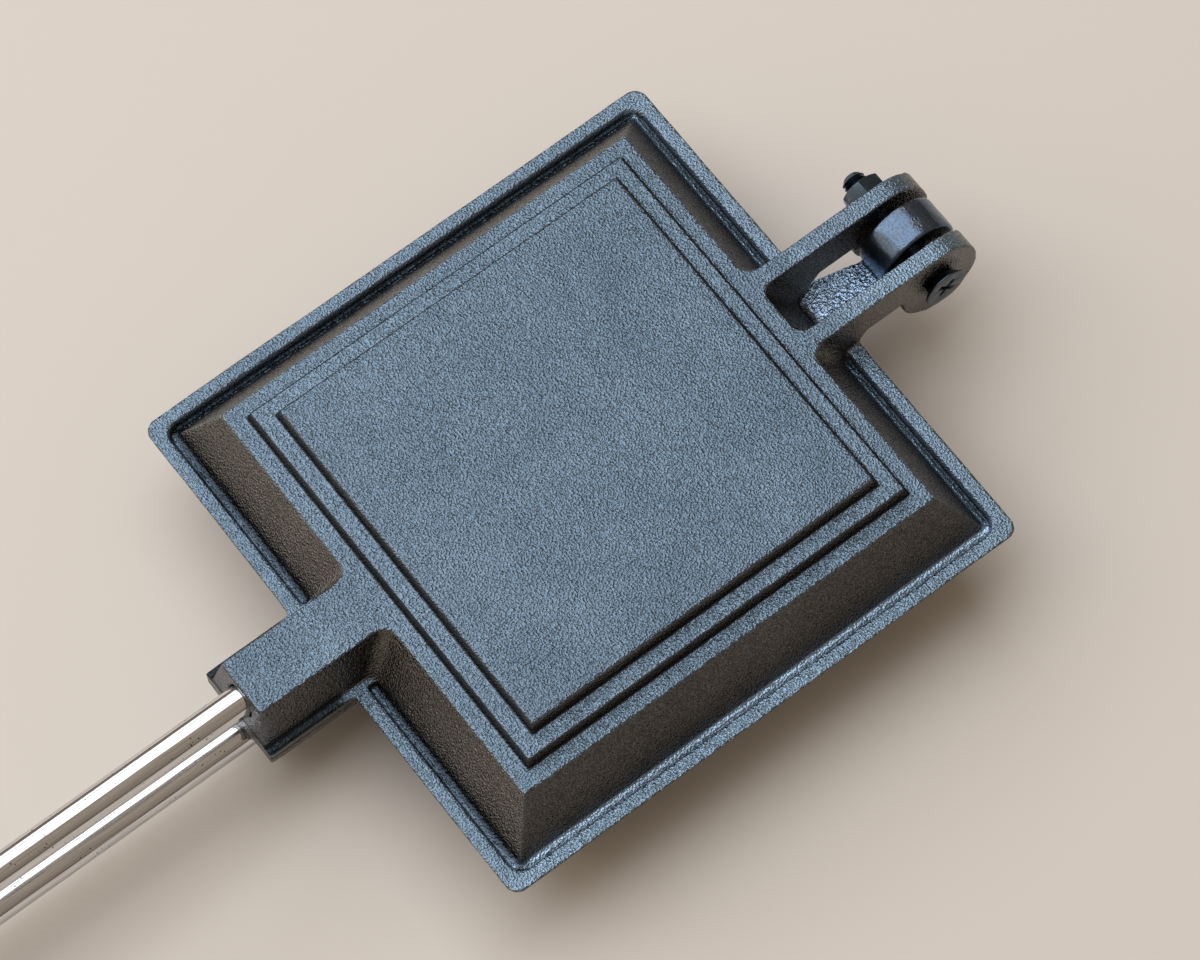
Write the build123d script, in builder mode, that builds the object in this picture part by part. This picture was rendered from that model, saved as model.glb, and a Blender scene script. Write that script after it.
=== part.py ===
from build123d import *
from math import acos, asin, atan2, cos, degrees, hypot, radians, sin, tan
import os

# A long-handled square pie iron. Two cast iron halves meet on a level plane and are hinged at
# the front, where a knuckle on the lower half sits in a fork on the upper one. Each half holds
# a plated steel rod with a turned wooden grip, and a wire bail keeps the two rods together.
#
# Millimetres. The origin is the centre of the flat bottom panel, +X points to the hinge, the
# handles run toward -X and +Z is up. A height above the parting is measured from the plane
# where the halves meet, outward: up on the upper half, down on the lower one.

os.makedirs("parts", exist_ok=True)
SIDES = {"upper": 1, "lower": -1}

# ---- Fits -----------------------------------------------------------------------------------
seat_gap = 0.02  # between pieces that are driven or screwed together
pin_gap = 0.05  # between the hinge screw or the bail's ends and what turns on them

# ---- Castings: pocket, stepped panel and flange ---------------------------------------------
plateau_half = 48.0  # half the width of the flat shoulder at the top of the pocket's wall
plateau_height = 13.1  # shoulder above the parting
wall_run = 7.0  # how far the sloped wall spreads from the shoulder to its foot in the groove
step_count = 2
step_ledge = 3.55  # flat ledge round each raised panel
step_height = 2.8
step_run = 0.55  # lean of each panel's edge
flange_thickness = 2.4
groove_depth = 1.2
groove_width = 1.4  # at its floor
groove_run = 0.45  # lean of the groove's outer wall
lip_width = 3.15  # flat lip outside the groove
flange_corner_radius = 3.0
edge_lean = 0.8  # the flange edges slope in, downward, over one flange thickness
wall_thickness = 3.6  # measured level
panel_thickness = 3.0
cavity_corner_radius = 3.0

# ---- Rod sockets ----------------------------------------------------------------------------
socket_offset_y = 0.8  # the sockets sit slightly off the centre line
socket_reach = 19.0  # from the flange edge to the socket's end
socket_end_lean = 1.7
socket_top_half = 6.2
socket_base_half = 8.8  # at the flange's outer face
socket_ledge = 1.7  # flange-high ledge beside the socket
socket_ledge_end = 0.2
root_radius = 3.0  # where the socket and the fork meet the pocket's wall
socket_mouth_radius = 3.8
socket_mouth_depth = 3.0

# ---- Hinge: fork above, tongue and knuckle below --------------------------------------------
hinge_reach = 19.6  # from the flange edge to the pivot
pivot_height = 4.0  # above the parting, on the upper side
fork_top_half = 9.9
fork_draft = 3.0  # degrees
fork_underside = 4.6  # above the parting, where the arms meet the ears
slot_top_half = 6.0
slot_pivot_half = 4.7
slot_end_gap = 0.5  # metal left outside the pocket's wall at the end of the slot
slot_corner_radius = 2.5
knuckle_side_gap = 0.6
knuckle_top_gap = 0.3  # below the top of the ears
tongue_half = 6.4  # where it leaves the flange
tongue_straight = 1.0  # past the flange edge, before it narrows to the knuckle
tongue_draft = 4.0  # degrees

# ---- Hinge screw and nut (M5) ---------------------------------------------------------------
screw_diameter = 5.0
screw_length = 30.0
screw_head_diameter = 9.4
screw_head_rim = 0.3
screw_head_proud = 1.95  # from the ear to the face of the head
screw_end_chamfer = 0.5
nut_width = 8.0  # across flats
nut_thickness = 4.0
nut_chamfer = 0.4
nut_turn = 10.0  # degrees

# ---- Rods and handles -----------------------------------------------------------------------
rod_diameter = 6.35
rod_height = 7.65  # rod axis above the parting
rod_hold = 26.0  # length of rod inside the casting
overall_length = 711.0  # from the ears to the acorn nuts
grip_length = 121.0
grip_gap = 0.8  # between the flats of the two grips
grip_belly = 50.0  # from the front of the grip to its widest point
grip_front_radius = 8.0  # behind the front cup
grip_tail_radius = 9.4  # where the rear end starts to round off
grip_tail_length = 10.0
grip_rear_radius = 7.4
grip_groove_radius = 0.8  # to the bottom of each V groove
ferrule_diameter = 14.4
ferrule_length = 14.0
ferrule_wall = 0.8
end_ferrule_length = 12.0
end_ferrule_chamfer = 0.6
stud_diameter = 6.0  # threaded end of the rod
stud_length = 5.0
stud_spare = 0.5  # space in the nut behind it
acorn_width = 10.0  # across flats
acorn_hex_length = 4.0
acorn_length = 8.0
acorn_chamfer = 0.5

# ---- Latch bail -----------------------------------------------------------------------------
bail_wire = 2.5
bail_half_width = 9.25  # to the centre of the wire
bail_setback = 4.5  # from the rear of the end ferrule to the pivot
bail_swing_gap = 0.2  # between the cross bar and the lower ferrule as it swings past
bail_rest_gap = 0.3  # between the cross bar and the upper grip that it lies on
bail_end_bend = 2.0
bail_corner_bend = 4.0
bail_pin_depth = 2.3  # how far each end sits in the ferrule
bail_hole_spare = 0.2  # space behind each end

# ---- Worked out from the values above -------------------------------------------------------
parting_z = plateau_height + step_count * step_height
groove_level = flange_thickness - groove_depth
wall_slope = wall_run / (plateau_height - groove_level)
lip_half = plateau_half + wall_run + groove_width + groove_run
flange_half = lip_half + lip_width
rim_half = flange_half - edge_lean

hinge_x = flange_half + hinge_reach
pivot_z = parting_z + pivot_height
ear_radius = plateau_height - pivot_height
fork_bottom = pivot_height - ear_radius
fork_slope = tan(radians(fork_draft))
arm_rise = fork_underside - flange_thickness
slot_slope = (slot_top_half - slot_pivot_half) / ear_radius
knuckle_radius = ear_radius - knuckle_top_gap
knuckle_half = slot_pivot_half - knuckle_side_gap

ear_face_y = fork_top_half + ear_radius * fork_slope
head_face_y = -ear_face_y - screw_head_proud
nut_corner_radius = nut_width / 2 / cos(radians(30))
nut_seat_y = ear_face_y + nut_corner_radius * fork_slope + seat_gap
pivot_axis = Axis((hinge_x, 0, pivot_z), (0, 1, 0))
pivot_section = Plane(origin=(hinge_x, 0, pivot_z), x_dir=(0, 1, 0), z_dir=(1, 0, 0))

rod_radius = rod_diameter / 2
socket_end_x = -flange_half - socket_reach
rod_front_x = socket_end_x + rod_hold
tail_x = hinge_x + ear_radius - overall_length
acorn_seat_x = tail_x + acorn_length
grip_rear_x = acorn_seat_x + end_ferrule_length
grip_front_x = grip_rear_x + grip_length
grip_radius = parting_z - rod_height
neck_length = ferrule_length - ferrule_wall
neck_radius = ferrule_diameter / 2 - ferrule_wall - seat_gap
body_x = grip_front_x - neck_length
bail_x = acorn_seat_x + bail_setback
bail_end_y = ferrule_diameter / 2 - bail_pin_depth

# The cross bar clears the corners of the lower ferrule and its nut on the way under them.
lower_ferrule_drop = 2 * rod_height + ferrule_diameter / 2
bail_reach = bail_wire / 2 + bail_swing_gap + max(
    hypot(bail_setback - end_ferrule_chamfer, lower_ferrule_drop),
    hypot(bail_setback, lower_ferrule_drop - end_ferrule_chamfer),
    hypot(bail_setback + acorn_hex_length, 2 * rod_height + acorn_width / 2),
)
belly_to_tail = grip_length - grip_belly - grip_tail_length
belly_to_bail = grip_length - grip_belly - (bail_reach - end_ferrule_length + bail_setback)
bail_bed_radius = grip_radius - (grip_radius - grip_tail_radius) * belly_to_bail / belly_to_tail
bail_rest_angle = asin((bail_bed_radius + bail_rest_gap + bail_wire / 2) / bail_reach)


def level(side, height):
    """Plane at a height above the parting, facing outward from it."""
    return Plane(origin=(0, 0, parting_z + side * height), x_dir=(1, 0, 0), z_dir=(0, 0, side))


def wall_half(height):
    """Half the width of the pocket's outer wall at a height above the parting."""
    return plateau_half + wall_slope * (plateau_height - height)


def square(side, height, half, corner_radius=0.0):
    """Square on the centre line, at a height above the parting."""
    with BuildSketch(level(side, height)) as outline:
        Rectangle(2 * half, 2 * half)
        if corner_radius:
            fillet(outline.vertices(), corner_radius)
    return outline.sketch


def bar(side, height, near_x, far_x, half_y, y=0.0, corner_radius=0.0):
    """Rectangle from near_x to far_x, at a height above the parting, round at its low-x end."""
    with BuildSketch(level(side, height)) as outline:
        with Locations(((near_x + far_x) / 2, side * y)):
            Rectangle(abs(far_x - near_x), 2 * half_y)
        if corner_radius:
            fillet(outline.vertices().group_by(Axis.X)[0], corner_radius)
    return outline.sketch


def tangent_point(point, centre, radius):
    """Where the lower tangent from a point on the left touches a circle."""
    reach = hypot(point[0] - centre[0], point[1] - centre[1])
    turn = atan2(point[1] - centre[1], point[0] - centre[0]) + acos(radius / reach)
    return (centre[0] + radius * cos(turn), centre[1] + radius * sin(turn))


def disc(plane, radius):
    """Circle on a plane."""
    with BuildSketch(plane) as outline:
        Circle(radius)
    return outline.sketch


def hexagon_nut(seat, width, thickness, corner_chamfer, turn=0.0):
    """Chamfered hexagon that stands on its seat plane."""
    corner_radius = width / 2 / cos(radians(30))
    with BuildSketch(seat) as hexagon:
        RegularPolygon(corner_radius, 6, rotation=turn)
    extrude(hexagon.sketch, amount=thickness)
    with BuildSketch(Plane(origin=seat.origin, x_dir=seat.z_dir, z_dir=seat.x_dir)) as turning:
        Rectangle(thickness, corner_radius, align=(Align.MIN, Align.MIN))
        chamfer(turning.vertices().group_by(Axis.Y)[-1], corner_chamfer)
    revolve(turning.sketch, axis=Axis(seat.origin, seat.z_dir), mode=Mode.INTERSECT)


def rod_z(side):
    """Height of a rod's axis."""
    return parting_z + side * rod_height


def rod_axis(side):
    """Axis of a rod."""
    return Axis((0, socket_offset_y, rod_z(side)), (1, 0, 0))


def rod_plane(side, x):
    """Plane square to a rod, facing the hinge."""
    return Plane(origin=(x, socket_offset_y, rod_z(side)), x_dir=(0, 1, 0), z_dir=(1, 0, 0))


def rod_section(side):
    """Plane through a rod's axis: x runs toward the hinge and y is the radius."""
    return Plane(origin=(0, socket_offset_y, rod_z(side)), x_dir=(1, 0, 0), z_dir=(0, -1, 0))


# ---- Features of a casting ------------------------------------------------------------------
def pocket(side):
    """Solid frustum of the pocket and the drafted block of the rod socket."""
    loft((square(side, 0, wall_half(0)), square(side, plateau_height, plateau_half)))
    sections = []
    for height in (0, plateau_height):
        below_top = (plateau_height - height) / (plateau_height - flange_thickness)
        end_x = socket_end_x + socket_end_lean * (1 - below_top)
        half_y = socket_top_half + (socket_base_half - socket_top_half) * below_top
        sections.append(bar(side, height, -plateau_half / 2, end_x, half_y, socket_offset_y))
    loft(sections)


def root_edges(body):
    """Concave edges where the socket and the fork rise along the pocket's wall."""
    return body.edges().filter_by(
        lambda edge: abs(edge.center().X) < wall_half(0) and edge.is_interior
    )


def flange(side):
    """Flange with a groove round the pocket; its edges lean the same way on both halves."""
    outer_half = rim_half + side * edge_lean
    loft((square(side, 0, rim_half, flange_corner_radius),
          square(side, flange_thickness, outer_half, flange_corner_radius)))
    loft((square(side, groove_level, lip_half - groove_run, flange_corner_radius),
          square(side, flange_thickness, lip_half, flange_corner_radius)), mode=Mode.SUBTRACT)
    ledge_half = socket_base_half + socket_ledge
    ledge_x = socket_end_x - socket_ledge_end
    extrude(bar(side, 0, -plateau_half, ledge_x, ledge_half, socket_offset_y),
            amount=flange_thickness)


def panel_steps(side):
    """Raised panels on the shoulder, each smaller than the one it stands on."""
    half = plateau_half
    for step in range(step_count):
        half -= step_ledge
        extrude(square(side, plateau_height + step * step_height, half), amount=step_height,
                taper=degrees(atan2(step_run, step_height)))
        half -= step_run


def cavity(side):
    """Hollow of the pocket, following the wall and the stepped panel from inside."""
    roof = plateau_height - panel_thickness
    loft((square(side, 0, wall_half(0) - wall_thickness, cavity_corner_radius),
          square(side, roof, wall_half(roof) - wall_thickness, cavity_corner_radius)),
         mode=Mode.SUBTRACT)
    half = plateau_half - panel_thickness
    for step in range(step_count):
        half -= step_ledge
        extrude(square(side, roof + step * step_height, half, cavity_corner_radius),
                amount=step_height, mode=Mode.SUBTRACT)
        half -= step_run


def rod_bore(side):
    """Blind bore for the rod, wider at its mouth."""
    centre = (socket_end_x, socket_offset_y, rod_z(side))
    with Locations(Plane(origin=centre, x_dir=(0, 1, 0), z_dir=(-1, 0, 0))):
        CounterBoreHole(rod_radius + seat_gap, socket_mouth_radius, socket_mouth_depth, rod_hold)


# ---- Fork of the upper half -----------------------------------------------------------------
with BuildPart() as fork:
    with BuildSketch(Plane.XZ):
        with BuildLine():
            Polyline(
                (hinge_x, pivot_z + ear_radius),
                (plateau_half / 2, pivot_z + ear_radius),
                (plateau_half / 2, parting_z),
                (rim_half, parting_z),
                (flange_half, parting_z + flange_thickness),
                (flange_half + arm_rise, parting_z + fork_underside),
                (hinge_x, parting_z + fork_underside),
                close=True,
            )
        make_face()
        with Locations((hinge_x, pivot_z)):
            Circle(ear_radius)
    fork_bottom_half = fork_top_half + 2 * ear_radius * fork_slope
    extrude(amount=fork_bottom_half, both=True)
    loft((bar(1, plateau_height, 0, 2 * hinge_x, fork_top_half),
          bar(1, fork_bottom, 0, 2 * hinge_x, fork_bottom_half)), mode=Mode.INTERSECT)

# Space between the arms: it narrows down to the pivot and ends just outside the pocket's wall.
with BuildPart() as slot:
    for top, bottom in ((plateau_height + 1, pivot_height), (pivot_height, fork_bottom - 1)):
        loft([bar(1, height, wall_half(height) + slot_end_gap, hinge_x + 2 * ear_radius,
                  slot_pivot_half + slot_slope * max(0, height - pivot_height),
                  corner_radius=slot_corner_radius) for height in (top, bottom)])

# ---- Tongue and knuckle of the lower half ---------------------------------------------------
# From above it is straight past the flange edge and then narrows to the knuckle. From the side
# its underside runs from the lower shoulder to the knuckle as a tangent.
with BuildPart() as tongue:
    narrow_x = flange_half + tongue_straight
    edge = [(plateau_half / 2, tongue_half), (narrow_x, tongue_half),
            (hinge_x - knuckle_radius, knuckle_half), (hinge_x + ear_radius, knuckle_half)]
    with BuildSketch(level(-1, 0)) as tongue_plan:
        Polygon(edge + [(x, -half) for x, half in reversed(edge)], align=None)
    extrude(amount=plateau_height, taper=tongue_draft)
    extrude(tongue_plan.sketch, amount=-pivot_height - ear_radius)
    with BuildSketch(Plane.XZ):
        underside_start = (plateau_half, parting_z - plateau_height)
        with BuildLine():
            Polyline(
                (plateau_half / 2, parting_z),
                (plateau_half / 2, parting_z - plateau_height),
                underside_start,
                tangent_point(underside_start, (hinge_x, pivot_z), knuckle_radius),
                (hinge_x, pivot_z),
                (hinge_x, parting_z),
                close=True,
            )
        make_face()
        with Locations((hinge_x, pivot_z)):
            Circle(knuckle_radius)
    extrude(amount=tongue_half, both=True, mode=Mode.INTERSECT)


# ---- Hinge screw and nut --------------------------------------------------------------------
def screw_profile(gap):
    """Half section of the hinge screw, grown by a gap."""
    shank = screw_diameter / 2 + gap
    rim = screw_head_diameter / 2 + gap
    with BuildSketch(pivot_section) as profile:
        with BuildLine():
            Polyline(
                (head_face_y, 0),
                (head_face_y, rim),
                (head_face_y + screw_head_rim, rim),
                (head_face_y + screw_head_rim + rim - shank, shank),
                (head_face_y + screw_length, shank),
                (head_face_y + screw_length, 0),
                close=True,
            )
        make_face()
    return profile.sketch


with BuildPart() as hinge_screw:
    revolve(screw_profile(0), axis=pivot_axis)
    chamfer(hinge_screw.edges().sort_by(Axis.Y)[-1], screw_end_chamfer)
hinge_screw.part.label = "hinge_screw"
export_step(hinge_screw.part, "parts/hinge_screw.step")

with BuildPart() as hinge_nut:
    seat = Plane(origin=(hinge_x, nut_seat_y, pivot_z), x_dir=(1, 0, 0), z_dir=(0, 1, 0))
    hexagon_nut(seat, nut_width, nut_thickness, nut_chamfer, nut_turn)
    extrude(disc(seat, screw_diameter / 2 + seat_gap), amount=nut_thickness,
            mode=Mode.SUBTRACT)
hinge_nut.part.label = "hinge_nut"
export_step(hinge_nut.part, "parts/hinge_nut.step")

# ---- Upper casting --------------------------------------------------------------------------
with BuildPart() as upper_body:
    pocket(1)
    add(fork.part)
    fillet(root_edges(upper_body), root_radius)

with BuildPart() as upper_plate:
    flange(1)
    add(upper_body.part)
    panel_steps(1)
    cavity(1)
    rod_bore(1)
    add(slot.part, mode=Mode.SUBTRACT)
    revolve(screw_profile(seat_gap), axis=pivot_axis, mode=Mode.SUBTRACT)
upper_plate.part.label = "upper_plate"
export_step(upper_plate.part, "parts/upper_plate.step")

# ---- Lower casting --------------------------------------------------------------------------
with BuildPart() as lower_body:
    pocket(-1)
    fillet(root_edges(lower_body), root_radius)
    add(tongue.part)

with BuildPart() as lower_plate:
    flange(-1)
    add(lower_body.part)
    panel_steps(-1)
    cavity(-1)
    rod_bore(-1)
    pivot_plane = Plane(origin=(hinge_x, 0, pivot_z), x_dir=(1, 0, 0), z_dir=(0, 1, 0))
    extrude(disc(pivot_plane, screw_diameter / 2 + pin_gap), amount=tongue_half, both=True,
            mode=Mode.SUBTRACT)
lower_plate.part.label = "lower_plate"
export_step(lower_plate.part, "parts/lower_plate.step")

# ---- Rods, grips and their fittings: one set on each half -----------------------------------
for name, side in SIDES.items():
    axis = rod_axis(side)
    section = rod_section(side)

    # Plated rod with a thinner threaded end.
    with BuildPart() as rod:
        with BuildSketch(section):
            with BuildLine():
                Polyline(
                    (rod_front_x, 0),
                    (rod_front_x, rod_radius),
                    (acorn_seat_x, rod_radius),
                    (acorn_seat_x, stud_diameter / 2),
                    (acorn_seat_x - stud_length, stud_diameter / 2),
                    (acorn_seat_x - stud_length, 0),
                    close=True,
                )
            make_face()
        revolve(axis=axis)
    rod.part.label = f"{name}_rod"
    export_step(rod.part, f"parts/{name}_rod.step")

    # Steel cup over the neck of the grip.
    with BuildPart() as ferrule:
        with BuildSketch(section):
            with BuildLine():
                Polyline(
                    (grip_front_x + ferrule_wall, rod_radius + seat_gap),
                    (grip_front_x + ferrule_wall, ferrule_diameter / 2 - ferrule_wall),
                    (grip_front_x, ferrule_diameter / 2),
                    (body_x, ferrule_diameter / 2),
                    (body_x, ferrule_diameter / 2 - ferrule_wall),
                    (grip_front_x, ferrule_diameter / 2 - ferrule_wall),
                    (grip_front_x, rod_radius + seat_gap),
                    close=True,
                )
            make_face()
        revolve(axis=axis)
    ferrule.part.label = f"{name}_ferrule"
    export_step(ferrule.part, f"parts/{name}_ferrule.step")

    # Turned grip: a neck in the cup, a body that swells to its belly and tapers to the rear, a
    # V groove near each end, and a flat toward the other grip.
    belly = (grip_front_x - grip_belly, grip_radius)
    tail = (grip_rear_x + grip_tail_length, grip_tail_radius)
    with BuildPart() as grip:
        with BuildSketch(section):
            with BuildLine():
                front = TangentArc(belly, (body_x, grip_front_radius), tangent=(1, 0))
                Polyline(
                    belly,
                    tail,
                    (grip_rear_x, grip_rear_radius),
                    (grip_rear_x, rod_radius + seat_gap),
                    (grip_front_x, rod_radius + seat_gap),
                    (grip_front_x, neck_radius),
                    (body_x, neck_radius),
                    (body_x, grip_front_radius),
                )
            make_face()
        revolve(axis=axis)
        with BuildSketch(section):
            with Locations(front @ 0.75, tail):
                RegularPolygon(grip_groove_radius, 4)
        revolve(axis=axis, mode=Mode.SUBTRACT)
        split(bisect_by=level(side, grip_gap / 2), keep=Keep.TOP)
    grip.part.label = f"{name}_grip"
    export_step(grip.part, f"parts/{name}_grip.step")

    # Ring behind the grip. The upper one carries the bail in two blind holes.
    with BuildPart() as end_ferrule:
        extrude(disc(rod_plane(side, grip_rear_x), ferrule_diameter / 2),
                amount=-end_ferrule_length)
        chamfer(end_ferrule.edges().group_by(Axis.X)[0], end_ferrule_chamfer)
        extrude(disc(rod_plane(side, grip_rear_x), rod_radius + seat_gap),
                amount=-end_ferrule_length, mode=Mode.SUBTRACT)
        if side == SIDES["upper"]:
            for hand in (1, -1):
                rim = (bail_x, socket_offset_y + hand * ferrule_diameter / 2, rod_z(side))
                with Locations(Plane(origin=rim, x_dir=(1, 0, 0), z_dir=(0, hand, 0))):
                    Hole(bail_wire / 2 + pin_gap, bail_pin_depth + bail_hole_spare)
    end_ferrule.part.label = f"{name}_end_ferrule"
    export_step(end_ferrule.part, f"parts/{name}_end_ferrule.step")

    # Acorn nut: a hexagon with a dome, bored for the rod's threaded end.
    with BuildPart() as end_nut:
        seat = Plane(origin=(acorn_seat_x, socket_offset_y, rod_z(side)), x_dir=(0, 1, 0),
                     z_dir=(-1, 0, 0))
        hexagon_nut(seat, acorn_width, acorn_hex_length, acorn_chamfer)
        with Locations(seat.offset(acorn_hex_length)):
            Sphere(acorn_length - acorn_hex_length)
        extrude(disc(seat, stud_diameter / 2 + seat_gap), amount=stud_length + stud_spare,
                mode=Mode.SUBTRACT)
    end_nut.part.label = f"{name}_end_nut"
    export_step(end_nut.part, f"parts/{name}_end_nut.step")

# ---- Latch bail -----------------------------------------------------------------------------
# One length of wire: two arms and a cross bar, with the ends turned in to the end ferrule.
with BuildPart() as latch_bail:
    bail_plane = Plane(
        origin=(bail_x, socket_offset_y, rod_z(SIDES["upper"])),
        x_dir=(cos(bail_rest_angle), 0, sin(bail_rest_angle)),
        z_dir=(-sin(bail_rest_angle), 0, cos(bail_rest_angle)),
    )
    with BuildLine(bail_plane) as bail_path:
        FilletPolyline(
            (0, -bail_end_y),
            (0, -bail_half_width),
            (bail_reach, -bail_half_width),
            (bail_reach, bail_half_width),
            (0, bail_half_width),
            (0, bail_end_y),
            radius=(bail_end_bend, bail_corner_bend, bail_corner_bend, bail_end_bend),
        )
    with BuildSketch(Plane(origin=bail_path.line @ 0, z_dir=bail_path.line % 0)):
        Circle(bail_wire / 2)
    sweep()
latch_bail.part.label = "latch_bail"
export_step(latch_bail.part, "parts/latch_bail.step")

bail_travel = 270 - degrees(bail_rest_angle)  # until the cross bar hangs under the lower rod
print(f"bail pivot {bail_x:.3f}, {socket_offset_y}, {rod_z(1):.3f}; travel {bail_travel:.1f}")
print(f"lid pivot {hinge_x:.3f}, 0, {pivot_z:.3f}")
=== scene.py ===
"""Looks of a long-handled square pie iron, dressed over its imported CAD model.

Two cast iron halves are hinged at the front and close on each other. Each carries a plated
rod with a turned beech grip, and a wire bail on the upper rod drops over the lower one.
Sizes are in millimetres in the classes and in metres in every mesh.
"""
import logging
import math
from dataclasses import dataclass
from enum import Enum

import bmesh
import bpy
import numpy as np
from mathutils import Matrix, Vector, noise


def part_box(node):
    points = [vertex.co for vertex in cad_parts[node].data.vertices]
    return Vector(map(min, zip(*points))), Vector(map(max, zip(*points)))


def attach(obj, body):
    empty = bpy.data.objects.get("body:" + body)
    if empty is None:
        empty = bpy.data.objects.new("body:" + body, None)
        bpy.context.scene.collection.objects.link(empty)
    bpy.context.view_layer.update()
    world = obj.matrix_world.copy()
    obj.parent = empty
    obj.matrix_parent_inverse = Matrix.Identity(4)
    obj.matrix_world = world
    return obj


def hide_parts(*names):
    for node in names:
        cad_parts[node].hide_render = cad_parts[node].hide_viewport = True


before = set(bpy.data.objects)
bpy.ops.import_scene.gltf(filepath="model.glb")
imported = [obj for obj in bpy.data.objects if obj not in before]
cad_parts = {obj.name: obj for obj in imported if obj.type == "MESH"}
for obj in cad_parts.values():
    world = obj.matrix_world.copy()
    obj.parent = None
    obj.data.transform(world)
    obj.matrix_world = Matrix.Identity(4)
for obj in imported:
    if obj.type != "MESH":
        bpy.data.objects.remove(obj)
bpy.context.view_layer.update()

MM = 0.001
AXIS_Y = 0.8  # the rods and sockets sit slightly off the middle
PARTING = 18.7  # height of the plane where the halves meet
ROD_HEIGHT = 7.65  # of a rod's axis from the parting
PIVOT_X, PIVOT_Z = 79.6, 22.7  # hinge axis

MATH, MIX, RANGE = "ShaderNodeMath", "ShaderNodeMix", "ShaderNodeMapRange"
NOISE, MAPPING, BUMP = "ShaderNodeTexNoise", "ShaderNodeMapping", "ShaderNodeBump"
TINT, BLEND = {"data_type": "RGBA"}, {"data_type": "FLOAT"}  # what a mix node mixes

log = logging.getLogger("pie_iron")

Point = tuple[float, float]
Colour = tuple[float, float, float, float]
Array = np.ndarray
Piece, Mesh, Material = bpy.types.Object, bpy.types.Mesh, bpy.types.Material
Tree, Node, Socket = bpy.types.NodeTree, bpy.types.Node, bpy.types.NodeSocket
Outputs = bpy.types.NodeOutputs


class Body(Enum):
    """CAD bodies that a piece can ride on."""

    LOWER = "lower"
    UPPER = "upper"
    LATCH = "latch"


class Slot(Enum):
    """Names of the material slots."""

    IRON = "iron"
    PLATED_ROD = "plated_rod"
    BLACK_STEEL = "black_steel"
    STEEL = "steel"
    BEECH = "beech"


class Side(Enum):
    """Which half of the iron a piece belongs to, and its sign along Z."""

    UPPER = 1
    LOWER = -1

    @property
    def label(self) -> str:
        """Name of the half in lower case."""
        return self.name.lower()

    @property
    def body(self) -> Body:
        """CAD body of the half."""
        return Body[self.name]

    @property
    def rod_z(self) -> float:
        """Height of the half's rod axis."""
        return PARTING + self.value * ROD_HEIGHT


# ---- Small tools ----------------------------------------------------------------------------
def linear(hex_colour: str) -> Colour:
    """Turns an sRGB hex colour into linear light.

    Args:
        hex_colour: Six hex digits after a #.

    Returns:
        Red, green, blue and an alpha of 1.
    """
    channels = [int(hex_colour[i:i + 2], 16) / 255 for i in (1, 3, 5)]
    return (*[c / 12.92 if c <= 0.04045 else ((c + 0.055) / 1.055) ** 2.4 for c in channels], 1.0)


def connect(tree: Tree, node: Node, inputs: dict[int | str, object]) -> None:
    """Links or sets a node's inputs.

    Args:
        tree: Tree of the node.
        node: Node to feed.
        inputs: Input names or numbers, each with a socket or a node to link, or a value.
            A node is linked by its first output.
    """
    for key, value in inputs.items():
        if isinstance(value, Node):
            value = value.outputs[0]
        if isinstance(value, Socket):
            tree.links.new(value, node.inputs[key])
        else:
            node.inputs[key].default_value = value


def add_node(tree: Tree, kind: str, settings: dict[str, object] | None = None,
             inputs: dict[int | str, object] | None = None) -> Node:
    """Adds a node, sets its properties, and links or sets its inputs.

    Args:
        tree: Tree that gets the node.
        kind: Blender's type name of the node.
        settings: Property names and values.
        inputs: Inputs as connect takes them.

    Returns:
        The new node.
    """
    node = tree.nodes.new(kind)
    for name, value in (settings or {}).items():
        setattr(node, name, value)
    connect(tree, node, inputs or {})
    return node


def new_material(name: str) -> tuple[Material, Tree, Socket]:
    """Makes a material.

    Args:
        name: Name of the material.

    Returns:
        The material, its tree and the Object coordinates.
    """
    material = bpy.data.materials.new(name)
    material.use_nodes = True
    tree = material.node_tree
    return material, tree, add_node(tree, "ShaderNodeTexCoord").outputs["Object"]


def finish(material: Material, inputs: dict[int | str, object]) -> Material:
    """Links or sets the inputs of a material's Principled shader and returns the material."""
    connect(material.node_tree, material.node_tree.nodes["Principled BSDF"], inputs)
    return material


def new_object(name: str, mesh: Mesh) -> Piece:
    """Links a mesh to the scene as an object.

    Args:
        name: Name of the object.
        mesh: Its mesh.

    Returns:
        The object, at the origin.
    """
    mesh.name = name
    piece = bpy.data.objects.new(name, mesh)
    bpy.context.scene.collection.objects.link(piece)
    return piece


def baked(piece: Piece) -> Piece:
    """Turns an object with modifiers into one with a plain mesh.

    Args:
        piece: Object with live modifiers. It is removed.

    Returns:
        A new object of the same name without modifiers.
    """
    depsgraph = bpy.context.evaluated_depsgraph_get()
    mesh = bpy.data.meshes.new_from_object(piece.evaluated_get(depsgraph), depsgraph=depsgraph)
    name = piece.name
    bpy.data.objects.remove(piece)
    return new_object(name, mesh)


def changed(piece: Piece, kind: str, settings: dict[str, object]) -> Piece:
    """Runs one modifier on a piece.

    Args:
        piece: Object to change. It is removed.
        kind: Blender's type name of the modifier.
        settings: Property names and values.

    Returns:
        The changed object.
    """
    modifier = piece.modifiers.new(kind.lower(), kind)
    for name, value in settings.items():
        setattr(modifier, name, value)
    return baked(piece)


def from_points(name: str, points: Array, faces: list[tuple[int, ...]],
                edges: list[tuple[int, int]] | None = None) -> Piece:
    """Makes an object from points in millimetres.

    Args:
        name: Name of the object.
        points: One row for each point.
        faces: Point numbers of each face.
        edges: Point numbers of loose edges.

    Returns:
        The object.
    """
    mesh = bpy.data.meshes.new(name)
    mesh.from_pydata((np.asarray(points, float) * MM).tolist(), edges or [], faces)
    return new_object(name, mesh)


def line_of(name: str, points: Array) -> Piece:
    """Makes an object of edges that join points in millimetres in their order."""
    return from_points(name, points, [], [(i, i + 1) for i in range(len(points) - 1)])


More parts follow.
